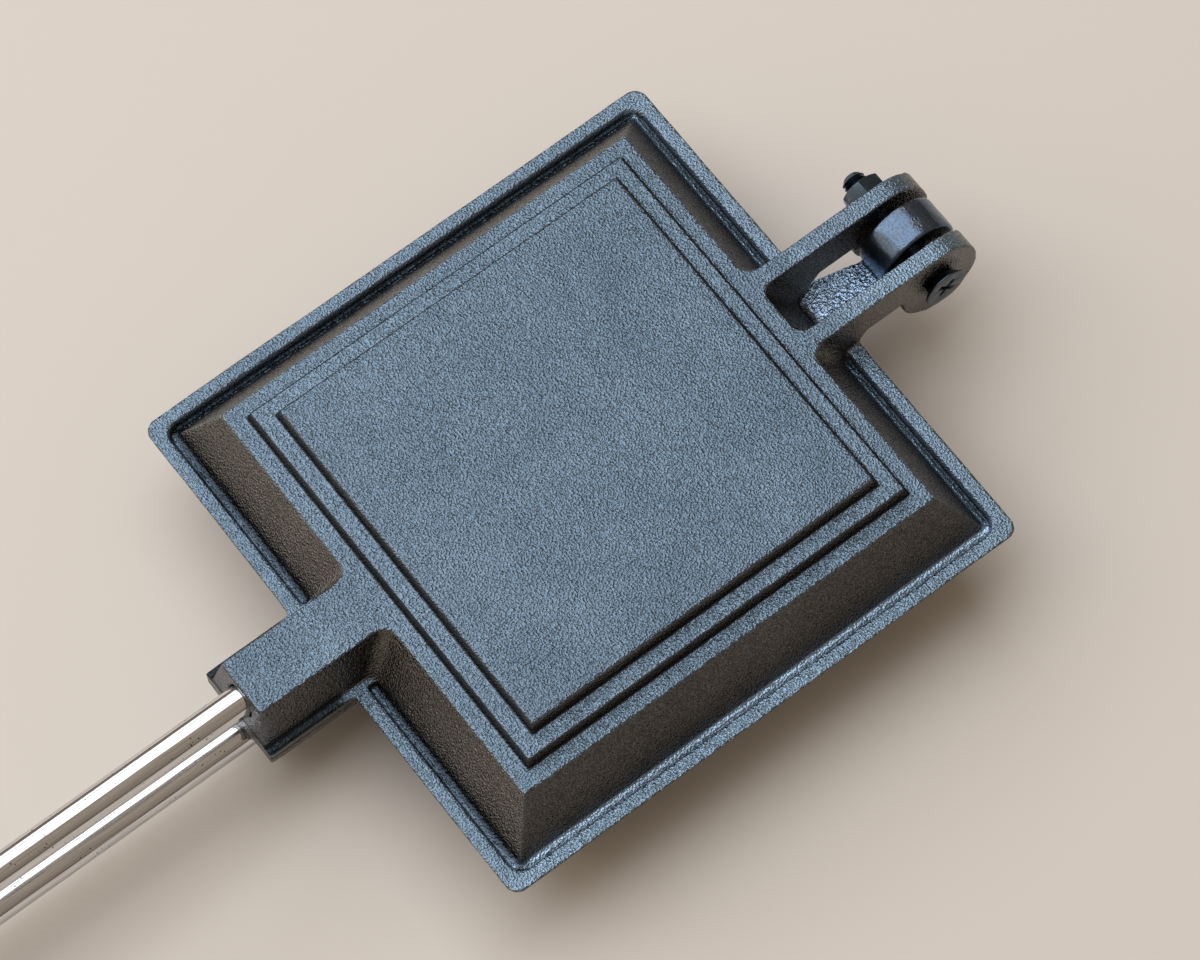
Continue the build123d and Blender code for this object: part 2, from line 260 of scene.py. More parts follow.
def cut(piece: Piece, tool: Piece, operation: str) -> Piece:
    """Cuts a piece with a tool.

    Args:
        piece: Object to cut.
        tool: Closed cutting object. It is removed.
        operation: DIFFERENCE, INTERSECT or UNION.

    Returns:
        The cut object.
    """
    result = changed(piece, "BOOLEAN", {"operation": operation, "solver": "EXACT",
                                        "object": tool})
    bpy.data.objects.remove(tool)
    return result


def softened(piece: Piece, width: float, segments: int = 3, angle: float = 25.0) -> Piece:
    """Rounds a piece's sharp edges.

    Args:
        piece: Object to round.
        width: Width of the rounding in millimetres.
        segments: Faces across each edge.
        angle: Edges sharper than this many degrees are rounded.

    Returns:
        The rounded object.
    """
    return changed(piece, "BEVEL", {"width": width * MM, "segments": segments,
                                    "limit_method": "ANGLE", "angle_limit": math.radians(angle),
                                    "harden_normals": False})


def smooth(piece: Piece, angle: float = 40.0) -> None:
    """Shades a piece smooth, except across edges sharper than an angle in degrees."""
    piece.data.shade_smooth()
    piece.data.set_sharp_from_angle(angle=math.radians(angle))


def outward(piece: Piece) -> None:
    """Turns the faces of a closed piece outward."""
    form = bmesh.new()
    form.from_mesh(piece.data)
    bmesh.ops.recalc_face_normals(form, faces=form.faces)
    form.to_mesh(piece.data)
    form.free()


def lay(piece: Piece, where: Matrix) -> None:
    """Moves a piece's mesh by a matrix whose translation is in millimetres."""
    step = where.copy()
    step.translation = where.translation * MM
    piece.data.transform(step)
    piece.data.update()


def coat(piece: Piece, material: Material) -> None:
    """Gives a piece one material in place of those it has."""
    piece.data.materials.clear()
    piece.data.materials.append(material)


def place(piece: Piece, body: Body, slot: Slot, *nodes: str) -> None:
    """Makes a finished piece ride on its body and stand for its CAD nodes.

    Args:
        piece: Finished piece at the origin.
        body: CAD body that it moves with.
        slot: Material slot; not used.
        nodes: CAD nodes that it replaces.
    """
    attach(piece, body.value)
    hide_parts(*nodes)
    log.info("%s: %d faces on %s", piece.name, len(piece.data.polygons), body.value)


def rounded(corners: list[Point], radii: list[float], steps: int = 5,
            closed: bool = False) -> list[Point]:
    """Rounds the corners of a plane outline.

    Args:
        corners: Corners in order.
        radii: Radius at each corner, 0 where it stays sharp.
        steps: Pieces of each arc.
        closed: Whether the outline is closed. Its first point then comes again at the end.

    Returns:
        Points of the rounded outline.
    """
    outline: list[Point] = []
    count = len(corners)
    for i, (corner, radius) in enumerate(zip(corners, radii)):
        if radius <= 0 or (not closed and i in (0, count - 1)):
            outline.append(corner)
            continue
        here = Vector(corner)
        back = (Vector(corners[i - 1]) - here).normalized()
        ahead = (Vector(corners[(i + 1) % count]) - here).normalized()
        half = back.angle(ahead) / 2
        centre = here + (back + ahead).normalized() * radius / math.sin(half)
        start = here + back * radius / math.tan(half) - centre
        end = here + ahead * radius / math.tan(half) - centre
        for step in range(steps + 1):
            ray = start.lerp(end, step / steps).normalized() * radius
            outline.append((centre.x + ray.x, centre.y + ray.y))
    return outline + outline[:1] if closed else outline


# ---- Geometry Nodes rules -------------------------------------------------------------------
class Rule:
    """A Geometry Nodes tree that turns a drawn line or a body into a finished form."""

    name = "rule"
    sizes: dict[str, str] = {}

    def __init__(self) -> None:
        """Builds the tree with a named input for each size."""
        self.tree = bpy.data.node_groups.new(self.name, "GeometryNodeTree")
        face = self.tree.interface
        face.new_socket("Geometry", in_out="INPUT", socket_type="NodeSocketGeometry")
        for size, kind in {**self.sizes, "Finish": "NodeSocketMaterial"}.items():
            face.new_socket(size, in_out="INPUT", socket_type=kind)
        face.new_socket("Geometry", in_out="OUTPUT", socket_type="NodeSocketGeometry")
        start = add_node(self.tree, "NodeGroupInput").outputs
        shaded = add_node(self.tree, "GeometryNodeSetShadeSmooth", {},
                          {"Geometry": self.form(start)})
        real = add_node(self.tree, "GeometryNodeRealizeInstances", {}, {"Geometry": shaded})
        dressed = add_node(self.tree, "GeometryNodeSetMaterial", {},
                           {"Geometry": real, "Material": start["Finish"]})
        add_node(self.tree, "NodeGroupOutput", {}, {0: dressed})

    def form(self, start: Outputs) -> Node:
        """Builds the nodes between the group's input and its finish.

        Args:
            start: Outputs of the group's input node.

        Returns:
            Node that gives the form.
        """
        raise NotImplementedError

    def run(self, piece: Piece, values: dict[str, object]) -> Piece:
        """Runs the rule on a piece and makes the result a plain mesh.

        Args:
            piece: Object that holds the drawn line or body. It is removed.
            values: Value of each named input.

        Returns:
            The finished object.
        """
        modifier = piece.modifiers.new(self.name, "NODES")
        modifier.node_group = self.tree
        for item in self.tree.interface.items_tree:
            if item.item_type == "SOCKET" and item.in_out == "INPUT" and item.name in values:
                modifier[item.identifier] = values[item.name]
        return baked(piece)


class Turning(Rule):
    """Turns a half section, drawn as points from end to end, round the X axis."""

    name = "turning"
    sizes = {"Section Points": "NodeSocketInt", "Segments": "NodeSocketInt",
             "Flat Height": "NodeSocketFloat"}

    def form(self, start: Outputs) -> Node:
        """Bends a grid round the axis, row by row of the section.

        Args:
            start: Outputs of the group's input node.

        Returns:
            Node that gives the turned form.
        """
        tree = self.tree
        columns = add_node(tree, MATH, {"operation": "ADD"}, {0: start["Segments"], 1: 1.0})
        grid = add_node(tree, "GeometryNodeMeshGrid", {}, {
            "Vertices X": start["Section Points"], "Vertices Y": columns})
        index = add_node(tree, "GeometryNodeInputIndex")
        part = add_node(tree, MATH, {"operation": "DIVIDE"}, {0: index, 1: columns})
        # A tenth is added before rounding down, so a whole number never falls just short.
        nudge = add_node(tree, MATH, {"operation": "DIVIDE"}, {0: 0.1, 1: columns})
        safe = add_node(tree, MATH, {"operation": "ADD"}, {0: part, 1: nudge})
        row = add_node(tree, MATH, {"operation": "FLOOR"}, {0: safe})
        passed = add_node(tree, MATH, {"operation": "MULTIPLY"}, {0: row, 1: columns})
        column = add_node(tree, MATH, {"operation": "SUBTRACT"}, {0: index, 1: passed})
        turn = add_node(tree, MATH, {"operation": "DIVIDE"}, {0: column, 1: start["Segments"]})
        angle = add_node(tree, MATH, {"operation": "MULTIPLY"}, {0: turn, 1: 2 * math.pi})
        point = add_node(tree, "GeometryNodeSampleIndex",
                         {"data_type": "FLOAT_VECTOR", "domain": "POINT"},
                         {"Geometry": start["Geometry"], "Index": row,
                          "Value": add_node(tree, "GeometryNodeInputPosition")})
        split = add_node(tree, "ShaderNodeSeparateXYZ", {}, {0: point}).outputs
        cosine, sine = (add_node(tree, MATH, {"operation": operation}, {0: angle})
                        for operation in ("COSINE", "SINE"))
        across, height = (add_node(tree, MATH, {"operation": "MULTIPLY"}, {0: split[1], 1: share})
                          for share in (cosine, sine))
        flat = add_node(tree, MATH, {"operation": "MAXIMUM"},
                        {0: height, 1: start["Flat Height"]})
        bent = add_node(tree, "ShaderNodeCombineXYZ", {}, {0: split[0], 1: across, 2: flat})
        form = add_node(tree, "GeometryNodeSetPosition", {}, {"Geometry": grid, "Position": bent})
        return add_node(tree, "GeometryNodeMergeByDistance", {},
                        {"Geometry": form, "Distance": 1e-6})


class Thread(Rule):
    """Winds a screw thread round a body on the X axis."""

    name = "thread"
    sizes = dict.fromkeys(("Start", "Length", "Pitch", "Core Radius", "Depth"),
                          "NodeSocketFloat")

    def form(self, start: Outputs) -> Node:
        """Sweeps a ridge along a helix and joins it to the body.

        Args:
            start: Outputs of the group's input node.

        Returns:
            Node that gives the threaded body.
        """
        tree = self.tree
        turns = add_node(tree, MATH, {"operation": "DIVIDE"},
                         {0: start["Length"], 1: start["Pitch"]})
        helix = add_node(tree, "GeometryNodeCurveSpiral", {}, {
            "Resolution": 48, "Rotations": turns, "Start Radius": start["Core Radius"],
            "End Radius": start["Core Radius"], "Height": start["Length"]})
        upright = add_node(tree, "GeometryNodeSetCurveNormal", {"mode": "Z_UP"}, {"Curve": helix})
        # The ridge rises and falls over its first and last half turns.
        along = add_node(tree, "GeometryNodeSplineParameter").outputs["Factor"]
        rise = add_node(tree, MATH, {"operation": "PINGPONG"}, {0: along, 1: 0.5})
        steep = add_node(tree, MATH, {"operation": "MULTIPLY"}, {0: rise, 1: turns})
        share = add_node(tree, MATH, {"operation": "MULTIPLY", "use_clamp": True},
                         {0: steep, 1: 2.0})
        tapered = add_node(tree, "GeometryNodeSetCurveRadius", {},
                           {"Curve": upright, "Radius": share})
        ridge = add_node(tree, "GeometryNodeCurvePrimitiveCircle", {"mode": "RADIUS"},
                         {"Resolution": 4, "Radius": 1.0})
        breadth = add_node(tree, MATH, {"operation": "MULTIPLY"}, {0: start["Pitch"], 1: 0.5})
        shape = add_node(tree, "ShaderNodeCombineXYZ", {},
                         {0: start["Depth"], 1: breadth, 2: 1.0})
        scaled = add_node(tree, "GeometryNodeTransform", {}, {"Geometry": ridge, "Scale": shape})
        swept = add_node(tree, "GeometryNodeCurveToMesh", {}, {
            "Curve": tapered, "Profile Curve": scaled, "Fill Caps": True, "Scale": share})
        offset = add_node(tree, "ShaderNodeCombineXYZ", {}, {0: start["Start"]})
        laid = add_node(tree, "GeometryNodeTransform", {}, {
            "Geometry": swept, "Translation": offset, "Rotation": (0.0, math.pi / 2, 0.0)})
        joined = add_node(tree, "GeometryNodeJoinGeometry", {}, {0: laid})
        connect(tree, joined, {0: start["Geometry"]})
        return joined


class Wire(Rule):
    """Draws round wire along a line of points."""

    name = "wire"
    sizes = {"Wire Radius": "NodeSocketFloat", "Segments": "NodeSocketInt"}

    def form(self, start: Outputs) -> Node:
        """Sweeps a circle along the line.

        Args:
            start: Outputs of the group's input node.

        Returns:
            Node that gives the wire.
        """
        line = add_node(self.tree, "GeometryNodeMeshToCurve", {}, {"Mesh": start["Geometry"]})
        circle = add_node(self.tree, "GeometryNodeCurvePrimitiveCircle", {"mode": "RADIUS"},
                          {"Resolution": start["Segments"], "Radius": start["Wire Radius"]})
        return add_node(self.tree, "GeometryNodeCurveToMesh", {},
                        {"Curve": line, "Profile Curve": circle, "Fill Caps": True})


# ---- Finishes -------------------------------------------------------------------------------
@dataclass(frozen=True)
class SeasonedIron:
    """Sand-cast grey iron with a baked oil seasoning.

    The sand leaves a fine orange peel. The flats get a blue-grey painted sheen and the walls
    a darker brown as painted shade, painted shade lies black in the corners, some walls get
    painted light, and ledges that the moulder left alone have a coarser skin and painted sheen.
    """

    # Painted sheen: the blue-grey flat tone stands for the sky's reflection in the upward faces;
    # the walls' darker brown is painted shade.
    flat: str = "#637482"
    wall: str = "#62605E"
    # Painted sheen: brighter blue-grey on the coarse zones and on the polished knuckle; their
    # deeper bump and lower roughness are real.
    coarse_skin: str = "#8398AE"
    polished_sheen: str = "#576678"
    # Painted shade, black, for the creases and the lines along the panels.
    painted_shade: str = "#171819"
    bare: str = "#B5B2AB"
    # Painted light on the walls that face +Y, and faintly on those that face -X.
    dry: str = "#A09B94"
    feet: Point = (44.53, 40.43)  # mm from the middle to the raised panels' feet
    edges: Point = (43.82, 39.72)  # mm, their top edges on the two sides that get a line of painted shade
    line: Point = (0.12, 0.36)  # mm, half width of a foot's line, and of its faded border
    edge_line: Point = (0.13, 0.30)  # mm, the same at a top edge
    grain: float = 0.43  # mm, drawn coarser than the sand so that it shows
    coarse_grain: float = 0.62  # mm
    mottle: float = 16.0  # mm
    relief: float = 0.6  # mm, drawn deeper than the sand so that it shows
    roughness: float = 0.21

    def material(self) -> Material:
        """Builds the node tree.

        Returns:
            The material.
        """
        material, tree, place_at = new_material("seasoned_cast_iron")
        level, coarse, polish_and_sheen, wear, crease, dry, film, outside = (
            add_node(tree, "ShaderNodeAttribute", {"attribute_name": name}).outputs["Fac"]
            for name in ("level", "coarse", "polish_and_sheen", "wear", "crease", "dry", "film",
                         "outside"))
        fine, rough, cloud = (
            add_node(tree, NOISE, {}, {"Vector": place_at, "Scale": 1 / (size * MM),
                                       "Detail": detail, "Roughness": soft})
            for size, detail, soft in ((self.grain, 1.0, 0.5), (self.coarse_grain, 1.0, 0.5),
                                       (self.mottle, 4.0, 0.6)))
        grain = add_node(tree, MIX, BLEND, {0: coarse, 2: fine, 3: rough})
        # Painted sheen and light: the upward faces, the coarse zones and the polished knuckle get
        # blue-grey sheen, and some walls painted light, over the walls' brown, which is painted
        # shade.
        colour = linear(self.wall)
        for share, tone in ((dry, self.dry), (level, self.flat), (coarse, self.coarse_skin),
                            (polish_and_sheen, self.polished_sheen)):
            colour = add_node(tree, MIX, TINT, {0: share, 6: colour, 7: linear(tone)}).outputs[2]
        # The oil fills the pits and thins over the peaks, and it lies unevenly.
        relief = add_node(tree, RANGE, {}, {"Value": grain, "From Min": 0.35, "From Max": 0.65,
                                            "To Min": 0.80, "To Max": 1.17})
        patch = add_node(tree, RANGE, {}, {"Value": cloud, "From Min": 0.3, "From Max": 0.7,
                                           "To Min": 0.88, "To Max": 1.1})
        even = add_node(tree, MATH, {"operation": "MULTIPLY"}, {0: relief, 1: patch})
        # Painted light and shade: whole zones are made brighter or darker by a stored factor.
        shade = add_node(tree, MATH, {"operation": "MULTIPLY"}, {0: even, 1: film})
        toned = add_node(tree, "ShaderNodeVectorMath", {"operation": "SCALE"},
                         {0: colour, "Scale": shade})
        # Edges that rub on others lose some of the seasoning.
        patchy = add_node(tree, MATH, {"operation": "MULTIPLY"}, {0: wear, 1: cloud})
        rubbed = add_node(tree, RANGE, {}, {"Value": patchy, "From Min": 0.44, "From Max": 0.6,
                                            "To Max": 0.7})
        worn = add_node(tree, MIX, TINT, {0: rubbed, 6: toned, 7: linear(self.bare)})
        # Painted shade: black in the inner corners, the groove, the wall's foot and along the
        # panels.
        painted_shade_mix = add_node(tree, MIX, TINT, {
            0: self.panel_shade_lines(tree, place_at, crease, outside), 6: worn.outputs[2],
            7: linear(self.painted_shade)})
        satin = add_node(tree, RANGE, {}, {
            "Value": grain, "From Min": 0.35, "From Max": 0.65,
            "To Min": self.roughness + 0.07, "To Max": self.roughness - 0.03})
        gloss = add_node(tree, MIX, BLEND, {0: polish_and_sheen, 2: satin, 3: 0.24})
        depth = add_node(tree, MIX, BLEND, {0: coarse, 2: 0.6, 3: 0.7})
        eased = add_node(tree, MIX, BLEND, {0: polish_and_sheen, 2: depth, 3: 0.05})
        bump = add_node(tree, BUMP, {}, {"Height": grain, "Strength": eased,
                                         "Distance": self.relief * MM})
        return finish(material, {"Base Color": painted_shade_mix.outputs[2], "Roughness": gloss,
                                 "Normal": bump, "Metallic": 1.0})

    def panel_shade_lines(self, tree: Tree, place_at: Socket, crease: Socket, outside: Socket) -> Socket:
        """Adds painted shade along the raised panels to that of the other creases.

        It lies along their feet, and along their top edges on the +X and +Y sides.

        Args:
            tree: Tree of the material.
            place_at: Object coordinates.
            crease: Share of painted shade elsewhere.
            outside: 1 on the outer face of the casting and 0 in its pocket.

        Returns:
            Socket with the share of burnt oil.
        """
        split = add_node(tree, "ShaderNodeSeparateXYZ", {}, {0: place_at}).outputs
        x_size, y_size = (add_node(tree, MATH, {"operation": "ABSOLUTE"}, {0: socket})
                          for socket in split[:2])
        reach = add_node(tree, MATH, {"operation": "MAXIMUM"}, {0: x_size, 1: y_size})
        signed = add_node(tree, MATH, {"operation": "MAXIMUM"}, {0: split[0], 1: split[1]})
        lines = [(foot, (reach,), self.line) for foot in self.feet]
        lines += [(edge, (reach, signed), self.edge_line) for edge in self.edges]
        for place_of, measures, (core, fade) in lines:
            gap = None
            for measure in measures:
                away = add_node(tree, MATH, {"operation": "SUBTRACT"},
                                {0: measure, 1: place_of * MM})
                size = add_node(tree, MATH, {"operation": "ABSOLUTE"}, {0: away})
                gap = size if gap is None else add_node(
                    tree, MATH, {"operation": "MAXIMUM"}, {0: gap, 1: size})
            line = add_node(tree, RANGE, {}, {"Value": gap, "From Min": core * MM,
                                              "From Max": fade * MM, "To Min": 0.85,
                                              "To Max": 0.0})
            shown = add_node(tree, MATH, {"operation": "MULTIPLY"}, {0: line, 1: outside})
            crease = add_node(tree, MATH, {"operation": "MAXIMUM"},
                              {0: crease, 1: shown}).outputs[0]
        return crease


@dataclass(frozen=True)
class PlatedRod:
    """Drawn steel rod with bright nickel-chrome plate.

    Mirror-bright with faint drawing lines, and small dark pits where the plate has failed.
    """

    plate: str = "#DFE0E1"
    pit: str = "#4B443C"
    roughness: float = 0.06
    pit_gap: float = 0.62  # mm between the cells that may hold a pit
    line: float = 0.25  # mm between the drawing lines, wider than real so that they show

    def material(self) -> Material:
        """Builds the node tree.

        Returns:
            The material.
        """
        material, tree, place_at = new_material("chrome_plated_steel")
        cloud = add_node(tree, NOISE, {}, {"Vector": place_at, "Scale": 1 / (7 * MM),
                                           "Detail": 2.0})
        spots = add_node(tree, "ShaderNodeTexVoronoi", {"feature": "F1"}, {
            "Vector": place_at, "Scale": 1 / (self.pit_gap * MM)}).outputs
        pick = add_node(tree, "ShaderNodeSeparateColor", {}, {0: spots["Color"]})
        crowd = add_node(tree, MATH, {"operation": "ADD"}, {0: pick, 1: cloud})
        few = add_node(tree, RANGE, {}, {"Value": crowd, "From Min": 1.24, "From Max": 1.66,
                                         "To Max": 0.34})
        pitted = add_node(tree, MATH, {"operation": "LESS_THAN"}, {0: spots["Distance"], 1: few})
        stretched = add_node(tree, MAPPING, {}, {"Vector": place_at, "Scale": (0.02, 1.0, 1.0)})
        lines = add_node(tree, NOISE, {}, {"Vector": stretched, "Scale": 1 / (self.line * MM),
                                           "Detail": 2.0})
        drawn = add_node(tree, RANGE, {}, {"Value": lines, "From Min": 0.3, "From Max": 0.6,
                                           "To Min": 0.78, "To Max": 1.0})
        streaked = add_node(tree, "ShaderNodeVectorMath", {"operation": "SCALE"},
                            {0: linear(self.plate)[:3], "Scale": drawn})
        colour = add_node(tree, MIX, TINT, {0: pitted, 6: streaked, 7: linear(self.pit)})
        haze = add_node(tree, RANGE, {}, {
            "Value": cloud, "From Min": 0.35, "From Max": 0.75, "To Min": self.roughness,
            "To Max": self.roughness + 0.06})
        gloss = add_node(tree, MIX, BLEND, {0: pitted, 2: haze, 3: 0.6})
        bump = add_node(tree, BUMP, {}, {"Height": lines, "Strength": 0.12,
                                         "Distance": 0.05 * MM})
        return finish(material, {"Base Color": colour.outputs[2], "Roughness": gloss,
                                 "Normal": bump, "Metallic": 1.0})


@dataclass(frozen=True)
class AgedMetal:
    """A satin metal finish with a clouded gloss, stains or rubbed spots, and fine marks.

    The black oxide of the screw and nut is slightly oily and rubbed. The satin nickel of the
    turned parts is warm grey, with fine rings from the lathe across X.
    """

    name: str
    metal: str
    stain: str
    roughness: float
    gloss_span: Point  # below and above the roughness
    spots: tuple[float, float, float]  # where stains begin and end in the cloud, and their share
    cloud: tuple[float, float, float, float]  # mm, detail, roughness, end of the gloss's range
    mark: float  # mm between the fine marks, wider than real so that they show
    detail: float
    squeeze: tuple[float, float, float]  # 1 along the way that the marks repeat
    bump: Point  # strength, and depth in mm

    def material(self) -> Material:
        """Builds the node tree.

        Returns:
            The material.
        """
        material, tree, place_at = new_material(self.name)
        squeezed = add_node(tree, MAPPING, {}, {"Vector": place_at, "Scale": self.squeeze})
        marks = add_node(tree, NOISE, {}, {"Vector": squeezed, "Scale": 1 / (self.mark * MM),
                                           "Detail": self.detail})
        size, detail, soft, end = self.cloud
        cloud = add_node(tree, NOISE, {}, {"Vector": place_at, "Scale": 1 / (size * MM),
                                           "Detail": detail, "Roughness": soft})
        first, last, most = self.spots
        aged = add_node(tree, RANGE, {}, {"Value": cloud, "From Min": first, "From Max": last,
                                          "To Max": most})
        colour = add_node(tree, MIX, TINT, {0: aged, 6: linear(self.metal),
                                            7: linear(self.stain)})
        below, above = self.gloss_span
        gloss = add_node(tree, RANGE, {}, {
            "Value": cloud, "From Min": 0.3, "From Max": end, "To Min": self.roughness - below,
            "To Max": self.roughness + above})
        strength, depth = self.bump
        bump = add_node(tree, BUMP, {}, {"Height": marks, "Strength": strength,
                                         "Distance": depth * MM})
        return finish(material, {"Base Color": colour.outputs[2], "Roughness": gloss,
                                 "Normal": bump, "Metallic": 1.0})


BLACK_OXIDE = AgedMetal(
    "black_oxide_steel", "#434E59", "#8A857B", roughness=0.3, gloss_span=(0.08, 0.1),
    spots=(0.6, 0.75, 0.35), cloud=(2.4, 3.0, 0.7, 0.7), mark=0.5, detail=3.0,
    squeeze=(1.0, 1.0, 1.0), bump=(0.25, 0.08))
SATIN_NICKEL = AgedMetal(
    "satin_nickel_plated_steel", "#C2BDB2", "#8D8272", roughness=0.2, gloss_span=(0.04, 0.14),
    spots=(0.55, 0.78, 0.5), cloud=(5.0, 4.0, 0.6, 0.75), mark=0.35, detail=2.0,
    squeeze=(1.0, 0.03, 0.03), bump=(0.18, 0.06))


@dataclass(frozen=True)
class LacqueredBeech:
    """Turned beech under clear lacquer: straight grain, fine dark flecks and a soft gloss."""

    early: str = "#D9A974"
    late: str = "#B87F4B"
    fleck: str = "#6E4424"
    ring: float = 2.2  # mm between growth rings
    warp: float = 9.0  # mm
    pore: float = 0.45  # mm, wider than real so that the flecks show
    roughness: float = 0.38

    def material(self) -> Material:
        """Builds the node tree.

        Returns:
            The material.
        """
        material, tree, place_at = new_material("lacquered_beech")
        slow = add_node(tree, MAPPING, {}, {"Vector": place_at, "Scale": (0.06, 1.0, 1.0),
                                            "Location": (0.0, 0.021, 0.034)})
        warp = add_node(tree, NOISE, {}, {"Vector": slow, "Scale": 1 / (self.warp * MM),
                                          "Detail": 3.0})
        rings = add_node(tree, "ShaderNodeTexWave",
                         {"wave_type": "RINGS", "rings_direction": "X", "wave_profile": "SAW"}, {
                             "Vector": slow, "Scale": 0.31 / (self.ring * MM),
                             "Distortion": 3.5, "Detail": 2.0, "Detail Scale": 1.2})
        tone = add_node(tree, MIX, BLEND, {0: 0.45, 2: rings.outputs["Fac"], 3: warp})
        wood = add_node(tree, MIX, TINT, {0: tone, 6: linear(self.early), 7: linear(self.late)})
        stretched = add_node(tree, MAPPING, {}, {"Vector": place_at, "Scale": (0.12, 1.0, 1.0)})
        pores = add_node(tree, NOISE, {}, {"Vector": stretched, "Scale": 1 / (self.pore * MM),
                                           "Detail": 2.0})
        dashes = add_node(tree, RANGE, {}, {"Value": pores, "From Min": 0.62, "From Max": 0.7,
                                            "To Max": 0.7})
        colour = add_node(tree, MIX, TINT, {0: dashes, 6: wood.outputs[2],
                                            7: linear(self.fleck)})
        bump = add_node(tree, BUMP, {"invert": True}, {"Height": dashes, "Strength": 0.25,
                                                       "Distance": 0.08 * MM})
        return finish(material, {"Base Color": colour.outputs[2], "Normal": bump,
                                 "Roughness": self.roughness, "Coat Weight": 0.6,
                                 "Coat Roughness": 0.12})


@dataclass(frozen=True)
class StudioFloor:
    """Matt painted board, plain and pale."""

    paint: str = "#D9D1C6"

    def material(self) -> Material:
        """Builds the node tree.

        Returns:
            The material.
        """
        material, tree, place_at = new_material("pale_painted_board")
        cloud = add_node(tree, NOISE, {}, {"Vector": place_at, "Scale": 1 / (60 * MM),
                                           "Detail": 3.0})
        gloss = add_node(tree, RANGE, {}, {"Value": cloud, "To Min": 0.7, "To Max": 0.85})
        return finish(material, {"Base Color": linear(self.paint), "Roughness": gloss})


# ---- Meshes as rows of numbers --------------------------------------------------------------
def read_points(mesh: Mesh) -> Array:
    """Points of a mesh in millimetres, one row each."""
    values = np.empty(len(mesh.vertices) * 3, np.float32)
    mesh.vertices.foreach_get("co", values)
    return values.reshape(-1, 3).astype(float) / MM


def write_points(mesh: Mesh, points: Array) -> None:
    """Writes points in millimetres back to a mesh."""
    mesh.vertices.foreach_set("co", (points * MM).astype(np.float32).ravel())
    mesh.update()


def read_normals(mesh: Mesh) -> Array:
    """Normals at the points of a mesh, one row each."""
    values = np.empty(len(mesh.vertices) * 3, np.float32)
    mesh.vertex_normals.foreach_get("vector", values)
    return values.reshape(-1, 3).astype(float)


def read_edges(mesh: Mesh) -> Array:
    """Point numbers of each edge of a mesh, one row each."""
    values = np.empty(len(mesh.edges) * 2, np.int32)
    mesh.edges.foreach_get("vertices", values)
    return values.reshape(-1, 2)


def relaxed(points: Array, pairs: Array, weight: Array, rounds: int) -> Array:
    """Moves each point towards the middle of its neighbours.

    Args:
        points: Points, one row each.
        pairs: Point numbers of each edge.
        weight: How far each point may move, from 0 to 1.
        rounds: How many times.

    Returns:
        The moved points.
    """
    count = np.maximum(np.bincount(pairs.ravel(), minlength=len(points)), 1)
    ends = np.concatenate((pairs[:, 0], pairs[:, 1]))
    others = np.concatenate((pairs[:, 1], pairs[:, 0]))
    for _ in range(rounds):
        middle = np.stack([np.bincount(ends, points[others, k], len(points)) / count
                           for k in range(3)], 1)
        points = points + (middle - points) * 0.5 * weight[:, None]
    return points


def relaxed_values(values: Array, pairs: Array, rounds: int) -> Array:
    """Spreads one value for each point over its neighbours.

    Args:
        values: Value at each point.
        pairs: Point numbers of each edge.
        rounds: How many times.

    Returns:
        The spread values.
    """
    column = np.repeat(values[:, None].astype(float), 3, axis=1)
    return relaxed(column, pairs, np.ones(len(values)), rounds)[:, 0]


def bend(points: Array, normals: Array, pairs: Array) -> Array:
    """How sharply the surface bends at each point.

    Args:
        points: Points, one row each.
        normals: Normals, one row each.
        pairs: Point numbers of each edge.

    Returns:
        0 on flats, more on outer edges and less in inner corners.
    """
    ends = np.concatenate((pairs[:, 0], pairs[:, 1]))
    others = np.concatenate((pairs[:, 1], pairs[:, 0]))
    step = points[others] - points[ends]
    length = np.maximum(np.linalg.norm(step, axis=1), 1e-6)
    drop = -(step * normals[ends]).sum(1) / length
    count = np.maximum(np.bincount(ends, minlength=len(points)), 1)
    return np.bincount(ends, drop, len(points)) / count


def grown(values: Array, start: float, run: float) -> Array:
    """Grows from 0 to 1 while the values go from a start over a run."""
    return np.clip((values - start) / run, 0, 1)


